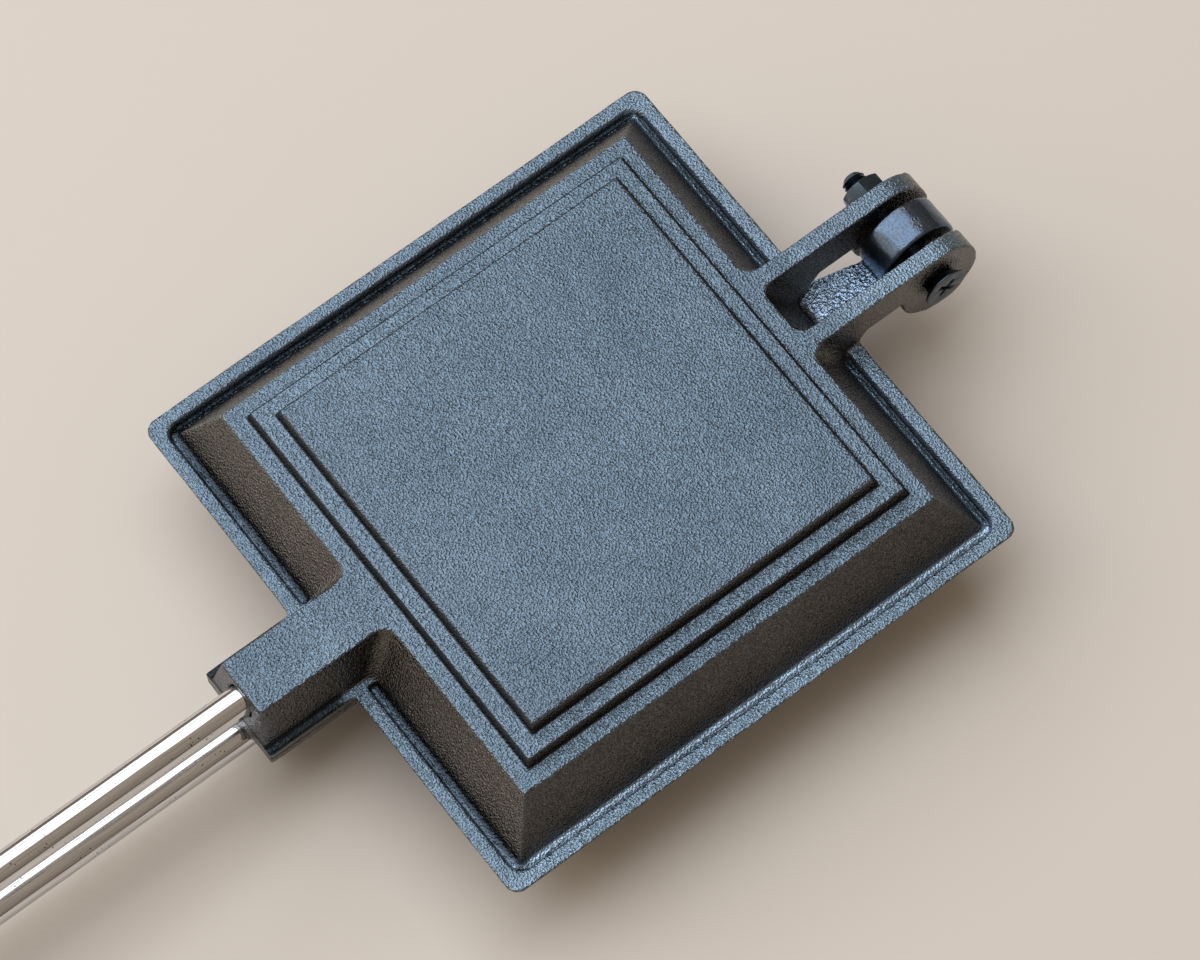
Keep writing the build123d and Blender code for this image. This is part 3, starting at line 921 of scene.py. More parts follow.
# ---- Pieces ---------------------------------------------------------------------------------
@dataclass
class Casting:
    """One cast half: a copy of its CAD solid with a foundry's rounded, uneven skin."""

    side: Side
    iron: Material
    voxel: float = 0.36
    smoothing: int = 1
    crease_smoothing: int = 3  # rounds the inner corners
    knuckle_smoothing: int = 12
    end_smoothing: int = 3  # rounds the socket's end
    end_x: float = -76.5  # where the socket's end begins
    groove_floor: float = 1.2  # above the parting
    groove_foot: float = 56.4  # of its outer wall
    slot_depth: float = 0.55
    slot_widths: tuple[float, ...] = (0.75, 0.5, 1.0, 0.4)  # on +X, -X, +Y and -Y
    mouth: Point = (3.8, 3.42)  # radius of the rod's recess in the CAD and here
    edge_wave: float = 0.42  # depth of the ripple along the flange's edge
    edge_sweep: float = 1.0  # depth of the slow waves along it
    skin_wave: float = 0.07
    triangles: int = 185_000

    def build(self) -> None:
        """Builds and dresses the casting."""
        node = f"{self.side.label}_plate"
        piece = self.remeshed(node)
        self.weather(piece.data)
        self.clip(piece.data, node)
        faces = sum(len(face.vertices) - 2 for face in piece.data.polygons)
        piece = changed(piece, "DECIMATE", {"ratio": min(1.0, self.triangles / faces)})
        self.clip(piece.data, node)
        self.mark(piece.data)
        coat(piece, self.iron)
        piece.data.shade_smooth()
        place(piece, self.side.body, Slot.IRON, node)

    def remeshed(self, node: str) -> Piece:
        """Copies a CAD node as an even mesh.

        Args:
            node: CAD node of the casting.

        Returns:
            The even copy.
        """
        form = bmesh.new()
        form.from_mesh(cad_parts[node].data)
        bmesh.ops.remove_doubles(form, verts=form.verts, dist=1e-6)
        mesh = bpy.data.meshes.new(node)
        form.to_mesh(mesh)
        form.free()
        return changed(new_object(f"{self.side.label}_casting", mesh), "REMESH",
                       {"mode": "VOXEL", "voxel_size": self.voxel * MM})

    def clip(self, mesh: Mesh, node: str) -> None:
        """Keeps a mesh inside its CAD node's box."""
        low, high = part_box(node)
        write_points(mesh, np.clip(read_points(mesh), np.array(low) / MM, np.array(high) / MM))

    def height(self, points: Array) -> Array:
        """Height of each point from the parting, outward."""
        return (points[:, 2] - PARTING) * self.side.value

    def knuckle(self, points: Array) -> Array:
        """How far each point belongs to the hinge knuckle, which only the lower half has.

        Args:
            points: Points in millimetres.

        Returns:
            A weight from 0 to 1 for each point.
        """
        if self.side is Side.UPPER:
            return np.zeros(len(points))
        axis = np.hypot(points[:, 0] - PIVOT_X, points[:, 2] - PIVOT_Z)
        return grown(points[:, 0], 69.5, 2) * grown(axis, 4.0, 2)

    def slot(self, points: Array) -> Array:
        """How deep the core print's slot at the lip's foot is at each point.

        It is narrow along the front of the iron and wide along its far side.

        Args:
            points: Points in millimetres.

        Returns:
            A depth in millimetres for each point.
        """
        x, y = points[:, 0], points[:, 1]
        front, back, far, near_side = self.slot_widths
        width = np.where(np.abs(x) > np.abs(y), np.where(x > 0, front, back),
                         np.where(y > 0, far, near_side))
        inside = self.groove_foot - np.abs(points[:, :2]).max(1)
        near = (np.abs(self.height(points) - self.groove_floor) < 0.35) & (inside > -0.4)
        return near * self.slot_depth * np.clip((width - inside) / 0.25, 0, 1)

    def narrowed(self, points: Array) -> Array:
        """Draws the recess at the socket's end in round the rod.

        Args:
            points: Points in millimetres.

        Returns:
            The moved points.
        """
        wide, narrow = self.mouth
        away = points[:, 1:] - (AXIS_Y, self.side.rod_z)
        radius = np.maximum(np.hypot(away[:, 0], away[:, 1]), 1e-6)
        limit = wide + 0.9
        drawn = limit - (limit - radius) * (limit - narrow) / (limit - wide)
        inside = (points[:, 0] < self.end_x + 0.2) & (radius < limit)
        scale = np.where(inside, np.maximum(drawn, narrow) / radius, 1.0)
        moved = points.copy()
        moved[:, 1:] += away * (scale - 1)[:, None]
        return moved

    def weather(self, mesh: Mesh) -> None:
        """Rounds the edges and makes the skin uneven.

        Args:
            mesh: Even mesh of the casting.
        """
        points, pairs = read_points(mesh), read_edges(mesh)
        points = relaxed(points, pairs, np.ones(len(points)), self.smoothing)
        points[:, 2] -= self.side.value * self.slot(points)
        write_points(mesh, points)
        creases = np.clip(-3 * bend(points, read_normals(mesh), pairs) - 0.3, 0, 1)
        points = relaxed(points, pairs, relaxed_values(creases, pairs, 2), self.crease_smoothing)
        knuckle = self.knuckle(points)
        points = relaxed(points, pairs, knuckle, self.knuckle_smoothing)
        end = np.clip(self.end_x - points[:, 0], 0, 1)
        points = self.narrowed(relaxed(points, pairs, end, self.end_smoothing))
        write_points(mesh, points)
        normals = read_normals(mesh)
        rim = grown(np.abs(points[:, :2]).max(1), 57.6, 1.4) * (1 - np.abs(normals[:, 2]))
        # Neither the fork, the tongue nor the socket has the flange's ragged edge.
        beside = np.abs(points[:, 1] - np.where(points[:, 0] > 0, 0.0, AXIS_Y))
        rim *= np.where(np.abs(points[:, 0]) > 57, grown(beside, 12.5, 2), 1.0)
        axis = np.hypot(points[:, 0] - PIVOT_X, points[:, 2] - PIVOT_Z)
        bore = np.hypot(points[:, 1] - AXIS_Y, points[:, 2] - self.side.rod_z)
        free = grown(axis, 3.4, 2) * grown(bore, 4.2, 2)
        depth = np.zeros(len(points))
        for i, point in enumerate(points):
            here = Vector(point)
            depth[i] = self.skin_wave * (0.5 + 0.5 * noise.noise(here / 5.5)) * free[i]
            if rim[i] > 0.02:
                swell = 0.5 + 0.5 * noise.noise(here / 9.0 + Vector((3, 1, 4)))
                nick = max(0.0, noise.noise(here / 2.6) - 0.15)
                slow = 0.5 + 0.5 * noise.noise(here / 24.0 + Vector((7, 2, 0)))
                depth[i] += rim[i] * (self.edge_wave * (0.7 * swell + 0.6 * nick)
                                      + self.edge_sweep * slow ** 2)
            if knuckle[i] > 0:
                depth[i] += 0.1 * knuckle[i] * (0.5 + 0.5 * noise.noise(here / 2.6))
        write_points(mesh, points - normals * depth[:, None])

    def mark(self, mesh: Mesh) -> None:
        """Stores where the skin gets painted sheen, is coarse or polished, gets painted shade or
        light, or is worn.

        Args:
            mesh: Finished mesh.
        """
        points, normals, pairs = read_points(mesh), read_normals(mesh), read_edges(mesh)
        x, y, height = points[:, 0], points[:, 1], self.height(points)
        reach = np.abs(points[:, :2]).max(1)
        facing = np.clip(normals[:, 2] * self.side.value, 0, 1)
        edge = bend(points, normals, pairs)
        groove = (reach > 54.2) & (reach < 56.7) & (height < 2.2) & (facing > 0.4)
        ledge = (x < -60.5) & (height < 3.4) & (height > 1.5) & (facing > 0.2)
        tongue = ((x > 57) & (x < 72.5) & (height < 1.2) & (np.abs(y) < 6.5)
                  & (self.side is Side.LOWER))
        # The coarse zones get a deeper bump and also a brighter painted sheen.
        coarse = np.where(tongue, 1.0, np.where(groove | ledge, 0.35, 0.0))
        # The knuckle and the socket's end are smoother and also get a blue painted sheen.
        polish_and_sheen = self.knuckle(points) * grown(points[:, 2], PARTING, 2)
        patch = np.array([noise.noise(Vector(p) / 3.0) for p in points[polish_and_sheen > 0]])
        polish_and_sheen[polish_and_sheen > 0] *= np.clip(1.35 + patch * 1.5, 0.5, 1)
        polish_and_sheen = np.maximum(polish_and_sheen, 0.35 * (x < self.end_x) * (facing < 0.6))
        wear = np.clip(2.5 * edge - 0.25, 0, 1) * (coarse == 0) * (polish_and_sheen < 0.4)
        wear *= np.where(x < self.end_x + 0.5, 1.6, 1.0)
        # Painted light: walls facing +Y, and faintly those facing -X, get a lighter tone.
        outer = ((reach > 47) & (height > self.groove_floor + 0.4)) * np.clip(
            (66 - x) / 14, 0, 1)
        dry = np.clip(2.5 * normals[:, 1] - 0.6, 0, 1) * outer
        dry += 0.24 * np.clip(-2.5 * normals[:, 0] - 0.6, 0, 1) * outer * (x > -58)
        # The upward faces are stored for the painted sheen; the coarse and polished zones also
        # carry painted sheen, the creases painted shade, and the last factor paints light and
        # shade by zone.
        store(mesh, "outside", np.where((facing > 0.02) & (height > 6), 1.0, 0.0))
        for name, values, rounds in (
            ("level", np.clip((facing - 0.55) * 4, 0, 1), 1), ("coarse", coarse, 2),
            ("polish_and_sheen", polish_and_sheen, 2), ("wear", wear, 1), ("dry", dry, 1),
            ("crease", 0.9 * self.creases(points, edge, facing, groove, ledge), 1),
            ("film", self.film(points, facing, groove, tongue), 2),
        ):
            store(mesh, name, relaxed_values(values, pairs, rounds))

    def creases(self, points: Array, edge: Array, facing: Array, groove: Array,
                ledge: Array) -> Array:
        """How much painted shade lies at each point.

        Args:
            points: Points in millimetres.
            edge: How sharply the surface bends.
            facing: 1 where the skin faces outward along Z.
            groove: Whether each point is on the groove's floor.
            ledge: Whether each point is on the ledge beside the socket.

        Returns:
            A share from 0 to 1 for each point.
        """
        x, height = points[:, 0], self.height(points)
        reach = np.abs(points[:, :2]).max(1)
        # Painted shade in the inner corners, the slot, the wall's foot and the hidden groove on -X
        # and -Y, and the ledge beside the socket.
        corner = np.clip(-3.5 * edge - 0.3, 0, 1) * np.clip((62 - x) / 5, 0, 1)
        slot = (reach > 54.6) & (reach < 57.2) & (height < self.groove_floor - 0.2)
        foot = (reach > 53) & (reach < 55.6) & (facing < 0.75) & (height > 0.5)
        foot &= (x < -53) | (points[:, 1] < -53)
        painted_shade = np.clip(1 - (height - self.groove_floor) / 1.6, 0, 1) * foot
        hidden = groove & (reach < 55.75) & (x < -53)
        return np.maximum.reduce([corner, ledge & (x < -62), slot, painted_shade, 0.9 * hidden])

    def film(self, points: Array, facing: Array, groove: Array, tongue: Array) -> Array:
        """How bright each zone is painted: a factor of painted light and shade.

        Args:
            points: Points in millimetres.
            facing: 1 where the skin faces outward along Z.
            groove: Whether each point is on the groove's floor.
            tongue: Whether each point is on the tongue of the hinge.

        Returns:
            A factor for each point.
        """
        x, y, height = points[:, 0], points[:, 1], self.height(points)
        reach = np.abs(points[:, :2]).max(1)
        lip = (reach > 56.9) & (reach < 61) & (facing > 0.4)
        panel = (reach < 48) & (reach > 40) & (facing > 0.4) & (height > 8)
        fork = (x > 60.5) & (height > 1.2)
        # Painted light on the lips, the fork, the tongue, the panels and most of the groove,
        # painted shade on the groove's -X side.
        film = np.ones(len(points))
        for where, factor in (
            (lip, 1.15), (lip & (x > 56.9), 1.35), (lip & (y < -56.9), 1.5),
            (groove & (x < -53), 0.8), (groove & (x > 53), 1.35), (groove & (y < -53), 1.6),
            (panel, 1.08), (fork, 1.2), (fork & (y < -5), 1.45), (tongue, 1.2),
        ):
            film[where] = factor
        return film


def store(mesh: Mesh, name: str, values: Array) -> None:
    """Stores a value at each point of a mesh under a name."""
    attribute = mesh.attributes.new(name, "FLOAT", "POINT")
    attribute.data.foreach_set("value", values.astype(np.float32))


@dataclass
class Lathe:
    """Turns half sections round an axis with the turning rule."""

    rule: Turning
    segments: int = 128

    def turn(self, name: str, section: list[Point], metal: Material, where: Matrix = Matrix(),
             flat: float = -1000.0, segments: int = 0) -> Piece:
        """Turns a half section.

        Args:
            name: Name of the piece.
            section: Places along the axis and radii, in millimetres, end to end.
            metal: Material.
            where: Turns and moves the X axis to the piece's own, in millimetres.
            flat: Lowest height of the form round the axis, in millimetres.
            segments: Faces round the axis, or 0 for the lathe's own.

        Returns:
            The turned piece.
        """
        piece = self.rule.run(line_of(name, np.array([(x, r, 0.0) for x, r in section])), {
            "Section Points": len(section), "Segments": segments or self.segments,
            "Flat Height": flat * MM, "Finish": metal})
        lay(piece, where)
        outward(piece)
        return piece


@dataclass
class Handle:
    """One rod with its grip, cup, end ring and acorn nut."""

    side: Side
    lathe: Lathe
    plated: Material
    nickel: Material
    beech: Material
    rod_radius: float = 3.175
    rod_front: float = -53.0
    stud_radius: float = 3.0
    stud_length: float = 5.0
    grip_front: float = -481.3
    grip_rear: float = -602.3
    belly: float = -531.3
    belly_radius: float = 11.05
    front_radius: float = 8.0
    neck_length: float = 13.2
    neck_radius: float = 6.38
    tail_length: float = 10.0
    tail_radius: float = 9.4
    rear_radius: float = 7.4
    groove_radius: float = 0.8
    flat_height: float = 7.25
    cup_radius: float = 7.2
    cup_wall: float = 0.8
    end_length: float = 12.0
    bail_x: float = -609.8
    acorn_flats: float = 10.0
    acorn_hex: float = 4.0
    acorn_length: float = 8.0

    @property
    def where(self) -> Matrix:
        """Moves the X axis to the rod's own; the lower handle is turned over."""
        turn = Matrix.Rotation(0 if self.side is Side.UPPER else math.pi, 4, "X")
        return Matrix.Translation((0, AXIS_Y, self.side.rod_z)) @ turn

    @property
    def seat(self) -> float:
        """Where the acorn nut sits on the end ring."""
        return self.grip_rear - self.end_length

    @property
    def hole(self) -> float:
        """Radius of the holes that the rod goes through."""
        return self.rod_radius + 0.03

    def build(self) -> None:
        """Builds and dresses the five pieces."""
        for build, angle, slot, node in (
            (self.rod, 40, Slot.PLATED_ROD, "rod"), (self.cup, 40, Slot.STEEL, "ferrule"),
            (self.grip, 50, Slot.BEECH, "grip"), (self.end_ring, 35, Slot.STEEL, "end_ferrule"),
            (self.acorn, 32, Slot.STEEL, "end_nut"),
        ):
            piece = build()
            smooth(piece, angle)
            place(piece, self.side.body, slot, f"{self.side.label}_{node}")

    def rod(self) -> Piece:
        """Builds the plated rod with its thinner threaded end.

        Returns:
            The rod.
        """
        seat, radius = self.seat, self.rod_radius
        section = rounded(
            [(self.rod_front, 0), (self.rod_front, radius), (seat, radius),
             (seat, self.stud_radius), (seat - self.stud_length, self.stud_radius),
             (seat - self.stud_length, 0)], [0, 0.5, 0, 0, 0.4, 0])
        front = [p for p in section if p[0] > seat]
        steps = np.linspace(front[-1][0], seat, 24)[1:]
        section = front + [(float(x), radius) for x in steps] + section[len(front) + 1:]
        return self.lathe.turn(f"{self.side.label}_rod_bar", section, self.plated, self.where)

    def cup(self) -> Piece:
        """Builds the pressed steel cup on the front of the grip.

        Returns:
            The cup.
        """
        front, rear = self.grip_front, self.grip_front - self.neck_length
        outer, inner = self.cup_radius, self.cup_radius - self.cup_wall
        corners = [(front + self.cup_wall, self.hole), (front + self.cup_wall, outer - 0.7),
                   (front - 0.2, outer - 0.12), (rear + 3.4, outer - 0.12),
                   (rear + 3.0, outer - 0.45), (rear + 2.4, outer - 0.45),
                   (rear + 2.0, outer - 0.12), (rear + 1.2, outer - 0.12),
                   (rear + 0.9, outer), (rear, outer), (rear, inner), (front, inner),
                   (front, self.hole)]
        section = rounded(corners, [0.1, 0.9, 0.8, 0.2, 0.15, 0.15, 0.2, 0.1, 0.2, 0.3, 0.1,
                                    0.2, 0.1], closed=True)
        return self.lathe.turn(f"{self.side.label}_cup", section, self.nickel, self.where)

    def radius_at(self, x: float) -> float:
        """Radius of the grip's body: an arc in front of the belly, then two straight tapers.

        Args:
            x: Place along the handle in millimetres.

        Returns:
            Radius in millimetres.
        """
        if x > self.belly:
            run = self.grip_front - self.neck_length - self.belly
            drop = self.belly_radius - self.front_radius
            bow = (run ** 2 + drop ** 2) / (2 * drop)
            return self.belly_radius - bow + math.sqrt(bow ** 2 - (x - self.belly) ** 2)
        places = (self.grip_rear, self.grip_rear + self.tail_length, self.belly)
        return float(np.interp(x, places, (self.rear_radius, self.tail_radius,
                                           self.belly_radius)))

    def grip(self) -> Piece:
        """Builds the turned beech grip, flat toward the other one.

        Returns:
            The grip.
        """
        front_end = self.grip_front - self.neck_length
        grooves = (self.belly + 0.75 * (front_end - self.belly),
                   self.grip_rear + self.tail_length)
        marks = set(np.linspace(front_end - 0.6, self.grip_rear + 0.8, 200).tolist())
        for groove in grooves:
            marks |= set(np.linspace(groove - 1.3, groove + 1.3, 21).tolist())
        section = [(self.grip_front, 0.0), (self.grip_front, self.neck_radius),
                   (front_end + 0.01, self.neck_radius), (front_end, self.front_radius - 0.5),
                   (front_end - 0.15, self.front_radius - 0.15)]
        for x in sorted(marks, reverse=True):
            radius = self.radius_at(x)
            for groove in grooves:
                away = abs(x - groove) / self.groove_radius
                radius -= self.groove_radius * max(0.0, 1.0 - away) ** 1.15
                radius -= 0.12 * max(0.0, 1.6 - away) * min(1.0, away)
            section.append((x, radius))
        rear = self.radius_at(self.grip_rear)
        section += [(self.grip_rear + 0.35, rear - 0.15), (self.grip_rear + 0.1, rear - 0.4),
                    (self.grip_rear, rear - 0.8), (self.grip_rear, 0.0)]
        return self.lathe.turn(f"{self.side.label}_beech_grip", section, self.beech, self.where,
                               flat=-self.flat_height, segments=160)

    def end_ring(self) -> Piece:
        """Builds the ring behind the grip; the upper one has two holes for the bail.

        Returns:
            The ring.
        """
        front, rear, outer = self.grip_rear, self.seat, self.cup_radius
        corners = [(front, self.hole), (front, outer), (front - 1.6, outer),
                   (front - 1.9, outer - 0.3), (front - 2.5, outer - 0.3), (front - 2.8, outer),
                   (rear + 0.6, outer), (rear, outer - 0.6), (rear, self.hole)]
        section = rounded(corners, [0.1, 0.25, 0.15, 0.1, 0.1, 0.15, 0.2, 0.2, 0.1], closed=True)
        piece = self.lathe.turn(f"{self.side.label}_end_ring", section, self.nickel, self.where)
        for hand in (1, -1) if self.side is Side.UPPER else ():
            where = (self.where @ Matrix.Translation((self.bail_x, hand * 4.7, 0))
                     @ Matrix.Rotation(hand * math.pi / 2, 4, "Z"))
            drill = [(0, 0), (0, 1.32), (2.5, 1.32), (3.6, 2.6), (3.6, 0)]
            piece = cut(piece, self.lathe.turn("drill", drill, self.nickel, where, segments=40),
                        "DIFFERENCE")
        return piece

    def acorn(self) -> Piece:
        """Builds the acorn nut: a chamfered hexagon with a dome, bored for the rod.

        Returns:
            The nut.
        """
        seat, far = self.seat, self.seat - self.acorn_hex
        tip = self.seat - self.acorn_length
        corner = self.acorn_flats / 2 / math.cos(math.radians(30))
        collar = [(seat, 0), (seat, 4.9), (seat - 0.5, corner + 0.02),
                  (far + 0.55, corner + 0.02), (far, 4.85), (far, 0)]
        dome_radius = self.acorn_length - self.acorn_hex
        dome = [(far + 0.6, 0.0), (far + 0.6, dome_radius)]
        dome += [(far - dome_radius * math.sin(a), dome_radius * math.cos(a))
                 for a in np.linspace(0, math.pi / 2, 24)[:-1]] + [(tip, 0.0)]
        bore = [(seat + 1, 0), (seat + 1, 3.03), (seat - 5.4, 3.03), (seat - 5.6, 0)]
        piece = cut(hexagon("acorn", seat, far, corner, 0.0),
                    self.lathe.turn("collar", collar, self.nickel), "INTERSECT")
        piece = cut(softened(piece, 0.14),
                    self.lathe.turn("cap", dome, self.nickel, segments=96), "UNION")
        piece = cut(piece, self.lathe.turn("bore", bore, self.nickel, segments=64), "DIFFERENCE")
        piece.name = f"{self.side.label}_acorn_nut"
        coat(piece, self.nickel)
        lay(piece, self.where)
        return piece


def hexagon(name: str, start: float, end: float, corner: float, turn: float) -> Piece:
    """Makes a hexagonal prism on the X axis.

    Args:
        name: Name of the object.
        start: Place of its first face in millimetres.
        end: Place of its other face.
        corner: Radius at its corners.
        turn: Angle of a corner from Y toward Z, in degrees.

    Returns:
        The prism.
    """
    angles = [math.radians(turn + 60 * i) for i in range(6)]
    points = [(x, corner * math.cos(a), corner * math.sin(a)) for x in (start, end)
              for a in angles]
    faces = [tuple(range(6)), tuple(range(11, 5, -1))]
    faces += [(i, i + 6, (i + 1) % 6 + 6, (i + 1) % 6) for i in range(6)]
    piece = from_points(name, np.array(points), faces)
    outward(piece)
    return piece


@dataclass
class HingeFastener:
    """The M5 screw through the hinge and its nut, both black."""

    lathe: Lathe
    thread: Thread
    steel: Material
    head_face: float = -12.327
    head_radius: float = 4.7
    head_rim: float = 0.3
    radius: float = 2.5
    length: float = 30.0
    pitch: float = 0.8
    thread_depth: float = 0.45
    thread_start: float = 8.0
    recess_width: float = 4.9
    recess_slot: float = 1.15
    recess_depth: float = 2.1
    nut_seat: float = 10.639
    nut_flats: float = 8.0
    nut_thickness: float = 4.0
    nut_turn: float = 10.0
    nut_bore: float = 2.54

    @property
    def where(self) -> Matrix:
        """Turns the X axis to the hinge's own."""
        return (Matrix.Translation((PIVOT_X, 0, PIVOT_Z))
                @ Matrix.Rotation(math.pi / 2, 4, "Z"))

    def build(self) -> None:
        """Builds and dresses the screw and the nut."""
        for build, angle, node in ((self.screw, 28, "hinge_screw"), (self.nut, 30, "hinge_nut")):
            piece = build()
            lay(piece, self.where)
            smooth(piece, angle)
            place(piece, Body.UPPER, Slot.BLACK_STEEL, node)

    def screw(self) -> Piece:
        """Builds the screw with its cross recess and thread.

        Returns:
            The screw, on the X axis.
        """
        face, tip = self.head_face, self.head_face + self.length
        core = self.radius - self.thread_depth
        rim = self.head_radius
        corners = [(face, 0), (face, rim), (face + self.head_rim, rim),
                   (face + self.head_rim + rim - self.radius, self.radius),
                   (self.thread_start, self.radius), (self.thread_start + 0.4, core),
                   (tip - 0.5, core), (tip, core - 0.5), (tip, 0)]
        section = rounded(corners, [0, 0.12, 0.1, 0.2, 0.1, 0.1, 0.1, 0.1, 0])
        piece = self.lathe.turn("screw", section, self.steel)
        for turn in (45, 135):
            piece = cut(piece, self.wing(math.radians(turn)), "DIFFERENCE")
        piece = self.thread.run(softened(piece, 0.06, 2, 35), {
            "Start": (self.thread_start + 0.2) * MM,
            "Length": (tip - self.thread_start - 0.7) * MM, "Pitch": self.pitch * MM,
            "Core Radius": core * MM, "Depth": self.thread_depth * MM, "Finish": self.steel})
        piece.name = "threaded_screw"
        return piece

    def wing(self, turn: float) -> Piece:
        """Makes the tool that cuts one bar of the cross recess.

        Args:
            turn: Angle of the bar round the axis.

        Returns:
            The tool.
        """
        points = []
        for depth, half, slot in ((-0.5, self.recess_width / 2 + 0.35, self.recess_slot / 2),
                                  (self.recess_depth, 0.7, self.recess_slot / 2 - 0.2)):
            for across, along in ((half, slot), (-half, slot), (-half, -slot), (half, -slot)):
                points.append((self.head_face + depth, across, along))
        faces = [(0, 1, 2, 3), (7, 6, 5, 4)] + [(i, i + 4, (i + 1) % 4 + 4, (i + 1) % 4)
                                                for i in range(4)]
        tool = from_points("wing", np.array(points), faces)
        tool.data.transform(Matrix.Rotation(turn, 4, "X"))
        outward(tool)
        return tool

    def nut(self) -> Piece:
        """Builds the nut with chamfered corners and a bore.

        Returns:
            The nut, on the X axis.
        """
        seat, far = self.nut_seat, self.nut_seat + self.nut_thickness
        corner = self.nut_flats / 2 / math.cos(math.radians(30))
        collar = [(seat, 0), (seat, 3.9), (seat + 0.42, corner + 0.02),
                  (far - 0.42, corner + 0.02), (far, 3.9), (far, 0)]
        bore = [(seat - 1, 0), (seat - 1, self.nut_bore), (far - 0.35, self.nut_bore),
                (far + 0.2, 3.0), (far + 0.2, 0)]
        piece = cut(hexagon("nut", seat, far, corner, -90 - self.nut_turn),
                    self.lathe.turn("collar", collar, self.steel), "INTERSECT")
        piece = cut(softened(piece, 0.12),
                    self.lathe.turn("bore", bore, self.steel, segments=64), "DIFFERENCE")
        piece.name = "hexagon_nut"
        coat(piece, self.steel)
        return piece


@dataclass
class LatchBail:
    """The bent wire that swings over the lower handle."""

    rule: Wire
    steel: Material
    pivot_x: float = -609.8
    pivot_z: float = 26.35
    rest_angle: float = 27.2867  # degrees above level
    reach: float = 24.2855
    half_width: float = 9.25
    end_y: float = 4.9
    end_bend: float = 2.0
    corner_bend: float = 4.0
    wire: float = 2.5

    def build(self) -> None:
        """Builds and dresses the bail."""
        corners = [(0.0, -self.end_y), (0.0, -self.half_width), (self.reach, -self.half_width),
                   (self.reach, self.half_width), (0.0, self.half_width), (0.0, self.end_y)]
        path = rounded(corners, [0, self.end_bend, self.corner_bend, self.corner_bend,
                                 self.end_bend, 0], steps=14)
        angle = math.radians(self.rest_angle)
        points = np.array([(self.pivot_x + u * math.cos(angle), AXIS_Y + v,
                            self.pivot_z + u * math.sin(angle)) for u, v in path])
        piece = self.rule.run(line_of("bail_wire", points), {
            "Wire Radius": self.wire / 2 * MM, "Segments": 32, "Finish": self.steel})
        smooth(piece)
        place(piece, Body.LATCH, Slot.STEEL, "latch_bail")


# ---- Studio ---------------------------------------------------------------------------------
@dataclass
class Softbox:
    """An area lamp that looks at the iron, with its distance and size in metres."""

    name: str
    towards: tuple[float, float, float]
    distance: float
    width: float
    height: float
    radiance: float
    tint: str

    def build(self) -> None:
        """Adds the lamp."""
        lamp = bpy.data.lights.new(self.name, "AREA")
        lamp.shape = "RECTANGLE"
        lamp.size, lamp.size_y = self.width, self.height
        lamp.energy = self.radiance * math.pi * self.width * self.height
        lamp.color = linear(self.tint)[:3]
        holder = bpy.data.objects.new(self.name, lamp)
        bpy.context.scene.collection.objects.link(holder)
        direction = Vector(self.towards).normalized()
        holder.location = direction * self.distance
        holder.rotation_euler = direction.to_track_quat("Z", "Y").to_euler()


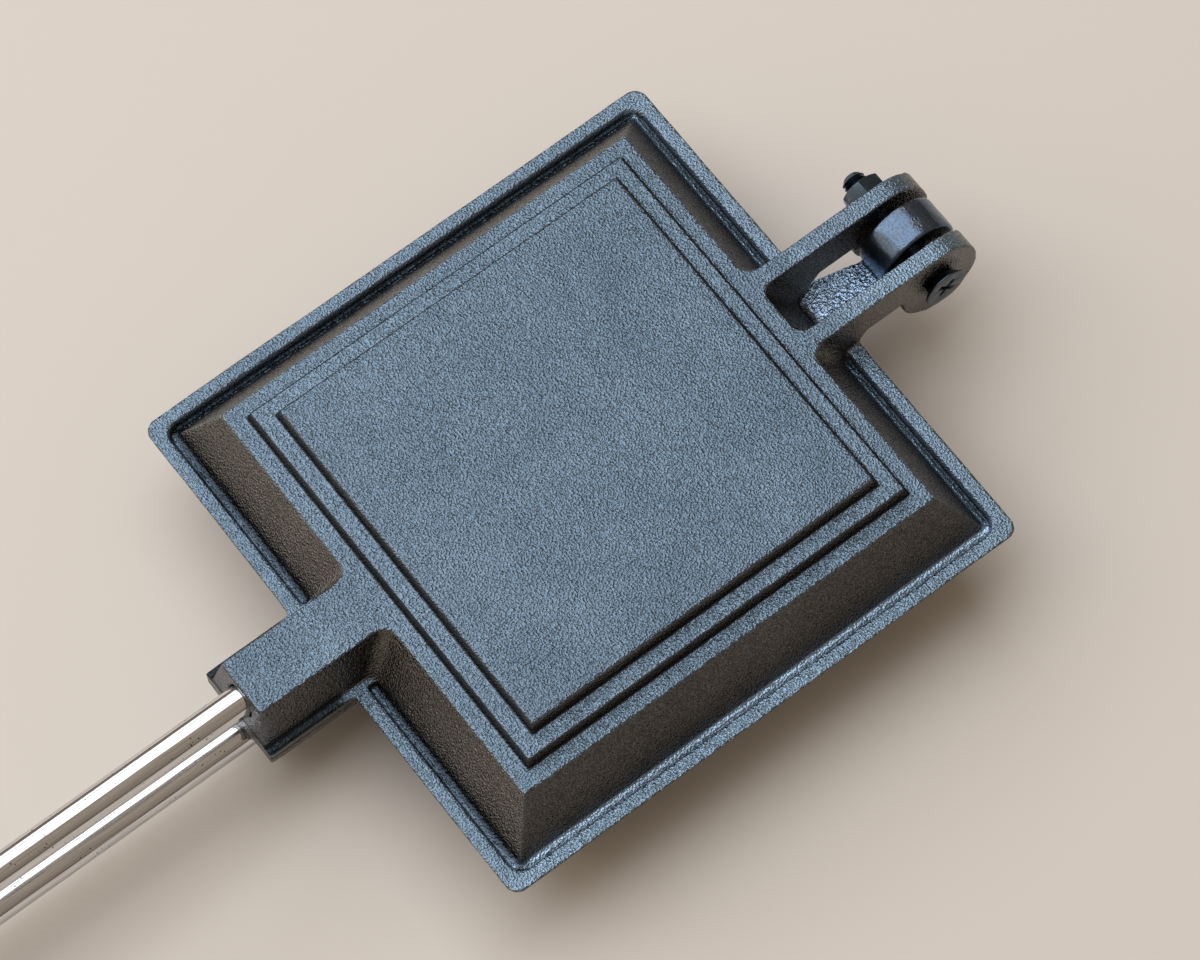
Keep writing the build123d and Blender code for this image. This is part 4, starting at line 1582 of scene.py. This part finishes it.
@dataclass
class Studio:
    """Floor, world, lamps and camera."""

    floor_size: float = 40.0  # m
    dado: str = "#2C2722"
    horizon: str = "#85766A"
    zenith: str = "#A79A8B"
    eye: tuple[float, float, float] = (-203.99, -320.21, 916.99)
    right: tuple[float, float, float] = (0.79698, -0.60328, -0.02950)
    up: tuple[float, float, float] = (0.56525, 0.72774, 0.38844)
    lens: float = 153.5
    # The gap between the two upper boxes draws a thin dark line along the bright rods.
    lamps: tuple[Softbox, ...] = (
        Softbox("overhead", (-0.080, 0.315, 0.9455), 1.9, 2.6, 1.6, 2.2, "#EDF4FF"),
        Softbox("upper_side", (-0.200, 0.790, 0.580), 1.9, 2.6, 0.55, 2.2, "#EDF4FF"),
        Softbox("left_fill", (-0.75, 0.50, 0.40), 2.4, 2.0, 2.0, 1.0, "#FFF1E2"))

    def build(self) -> None:
        """Builds the studio."""
        self.floor()
        self.world()
        self.camera()
        for lamp in self.lamps:
            lamp.build()

    def floor(self) -> None:
        """Lays the floor under the iron."""
        half = self.floor_size / 2 / MM
        piece = from_points("floor", np.array([(-half, -half, 0), (half, -half, 0),
                                               (half, half, 0), (-half, half, 0)]),
                            [(0, 1, 2, 3)])
        piece.data.materials.append(StudioFloor().material())

    def world(self) -> None:
        """Lights the iron from all round, more from above."""
        world = bpy.data.worlds.new("studio")
        world.use_nodes = True
        bpy.context.scene.world = world
        tree = world.node_tree
        ray = add_node(tree, "ShaderNodeTexCoord").outputs["Generated"]
        split = add_node(tree, "ShaderNodeSeparateXYZ", {}, {0: ray})
        ramp = add_node(tree, "ShaderNodeValToRGB", {}, {0: split.outputs[2]})
        stops = ramp.color_ramp.elements
        stops.new(0.5)
        for stop, (height, tone) in zip(stops, ((0.05, self.dado), (0.09, self.horizon),
                                                (0.9, self.zenith))):
            stop.position, stop.color = height, linear(tone)
        connect(tree, tree.nodes["Background"], {"Color": ramp, "Strength": 1.0})

    def camera(self) -> None:
        """Sets the camera where the photograph was taken from."""
        view = bpy.data.cameras.new("camera")
        view.sensor_width, view.lens = 36.0, self.lens
        view.clip_start, view.clip_end = 0.01, 50.0
        eye = bpy.data.objects.new("camera", view)
        bpy.context.scene.collection.objects.link(eye)
        right, up = Vector(self.right).normalized(), Vector(self.up).normalized()
        back = right.cross(up).normalized()
        turn = Matrix((right, back.cross(right), back)).transposed().to_4x4()
        eye.matrix_world = Matrix.Translation(Vector(self.eye) * MM) @ turn
        bpy.context.scene.camera = eye


def main() -> None:
    """Builds the iron piece by piece, then the studio."""
    logging.basicConfig(level=logging.INFO, format="%(name)s %(message)s")
    bpy.context.scene.view_settings.view_transform = "Standard"
    iron, plated = SeasonedIron().material(), PlatedRod().material()
    black, nickel = BLACK_OXIDE.material(), SATIN_NICKEL.material()
    beech = LacqueredBeech().material()
    lathe = Lathe(Turning())
    for side in Side:
        Casting(side, iron).build()
        Handle(side, lathe, plated, nickel, beech).build()
    HingeFastener(lathe, Thread(), black).build()
    LatchBail(Wire(), nickel).build()
    Studio().build()


if __name__ == "__main__":
    main()
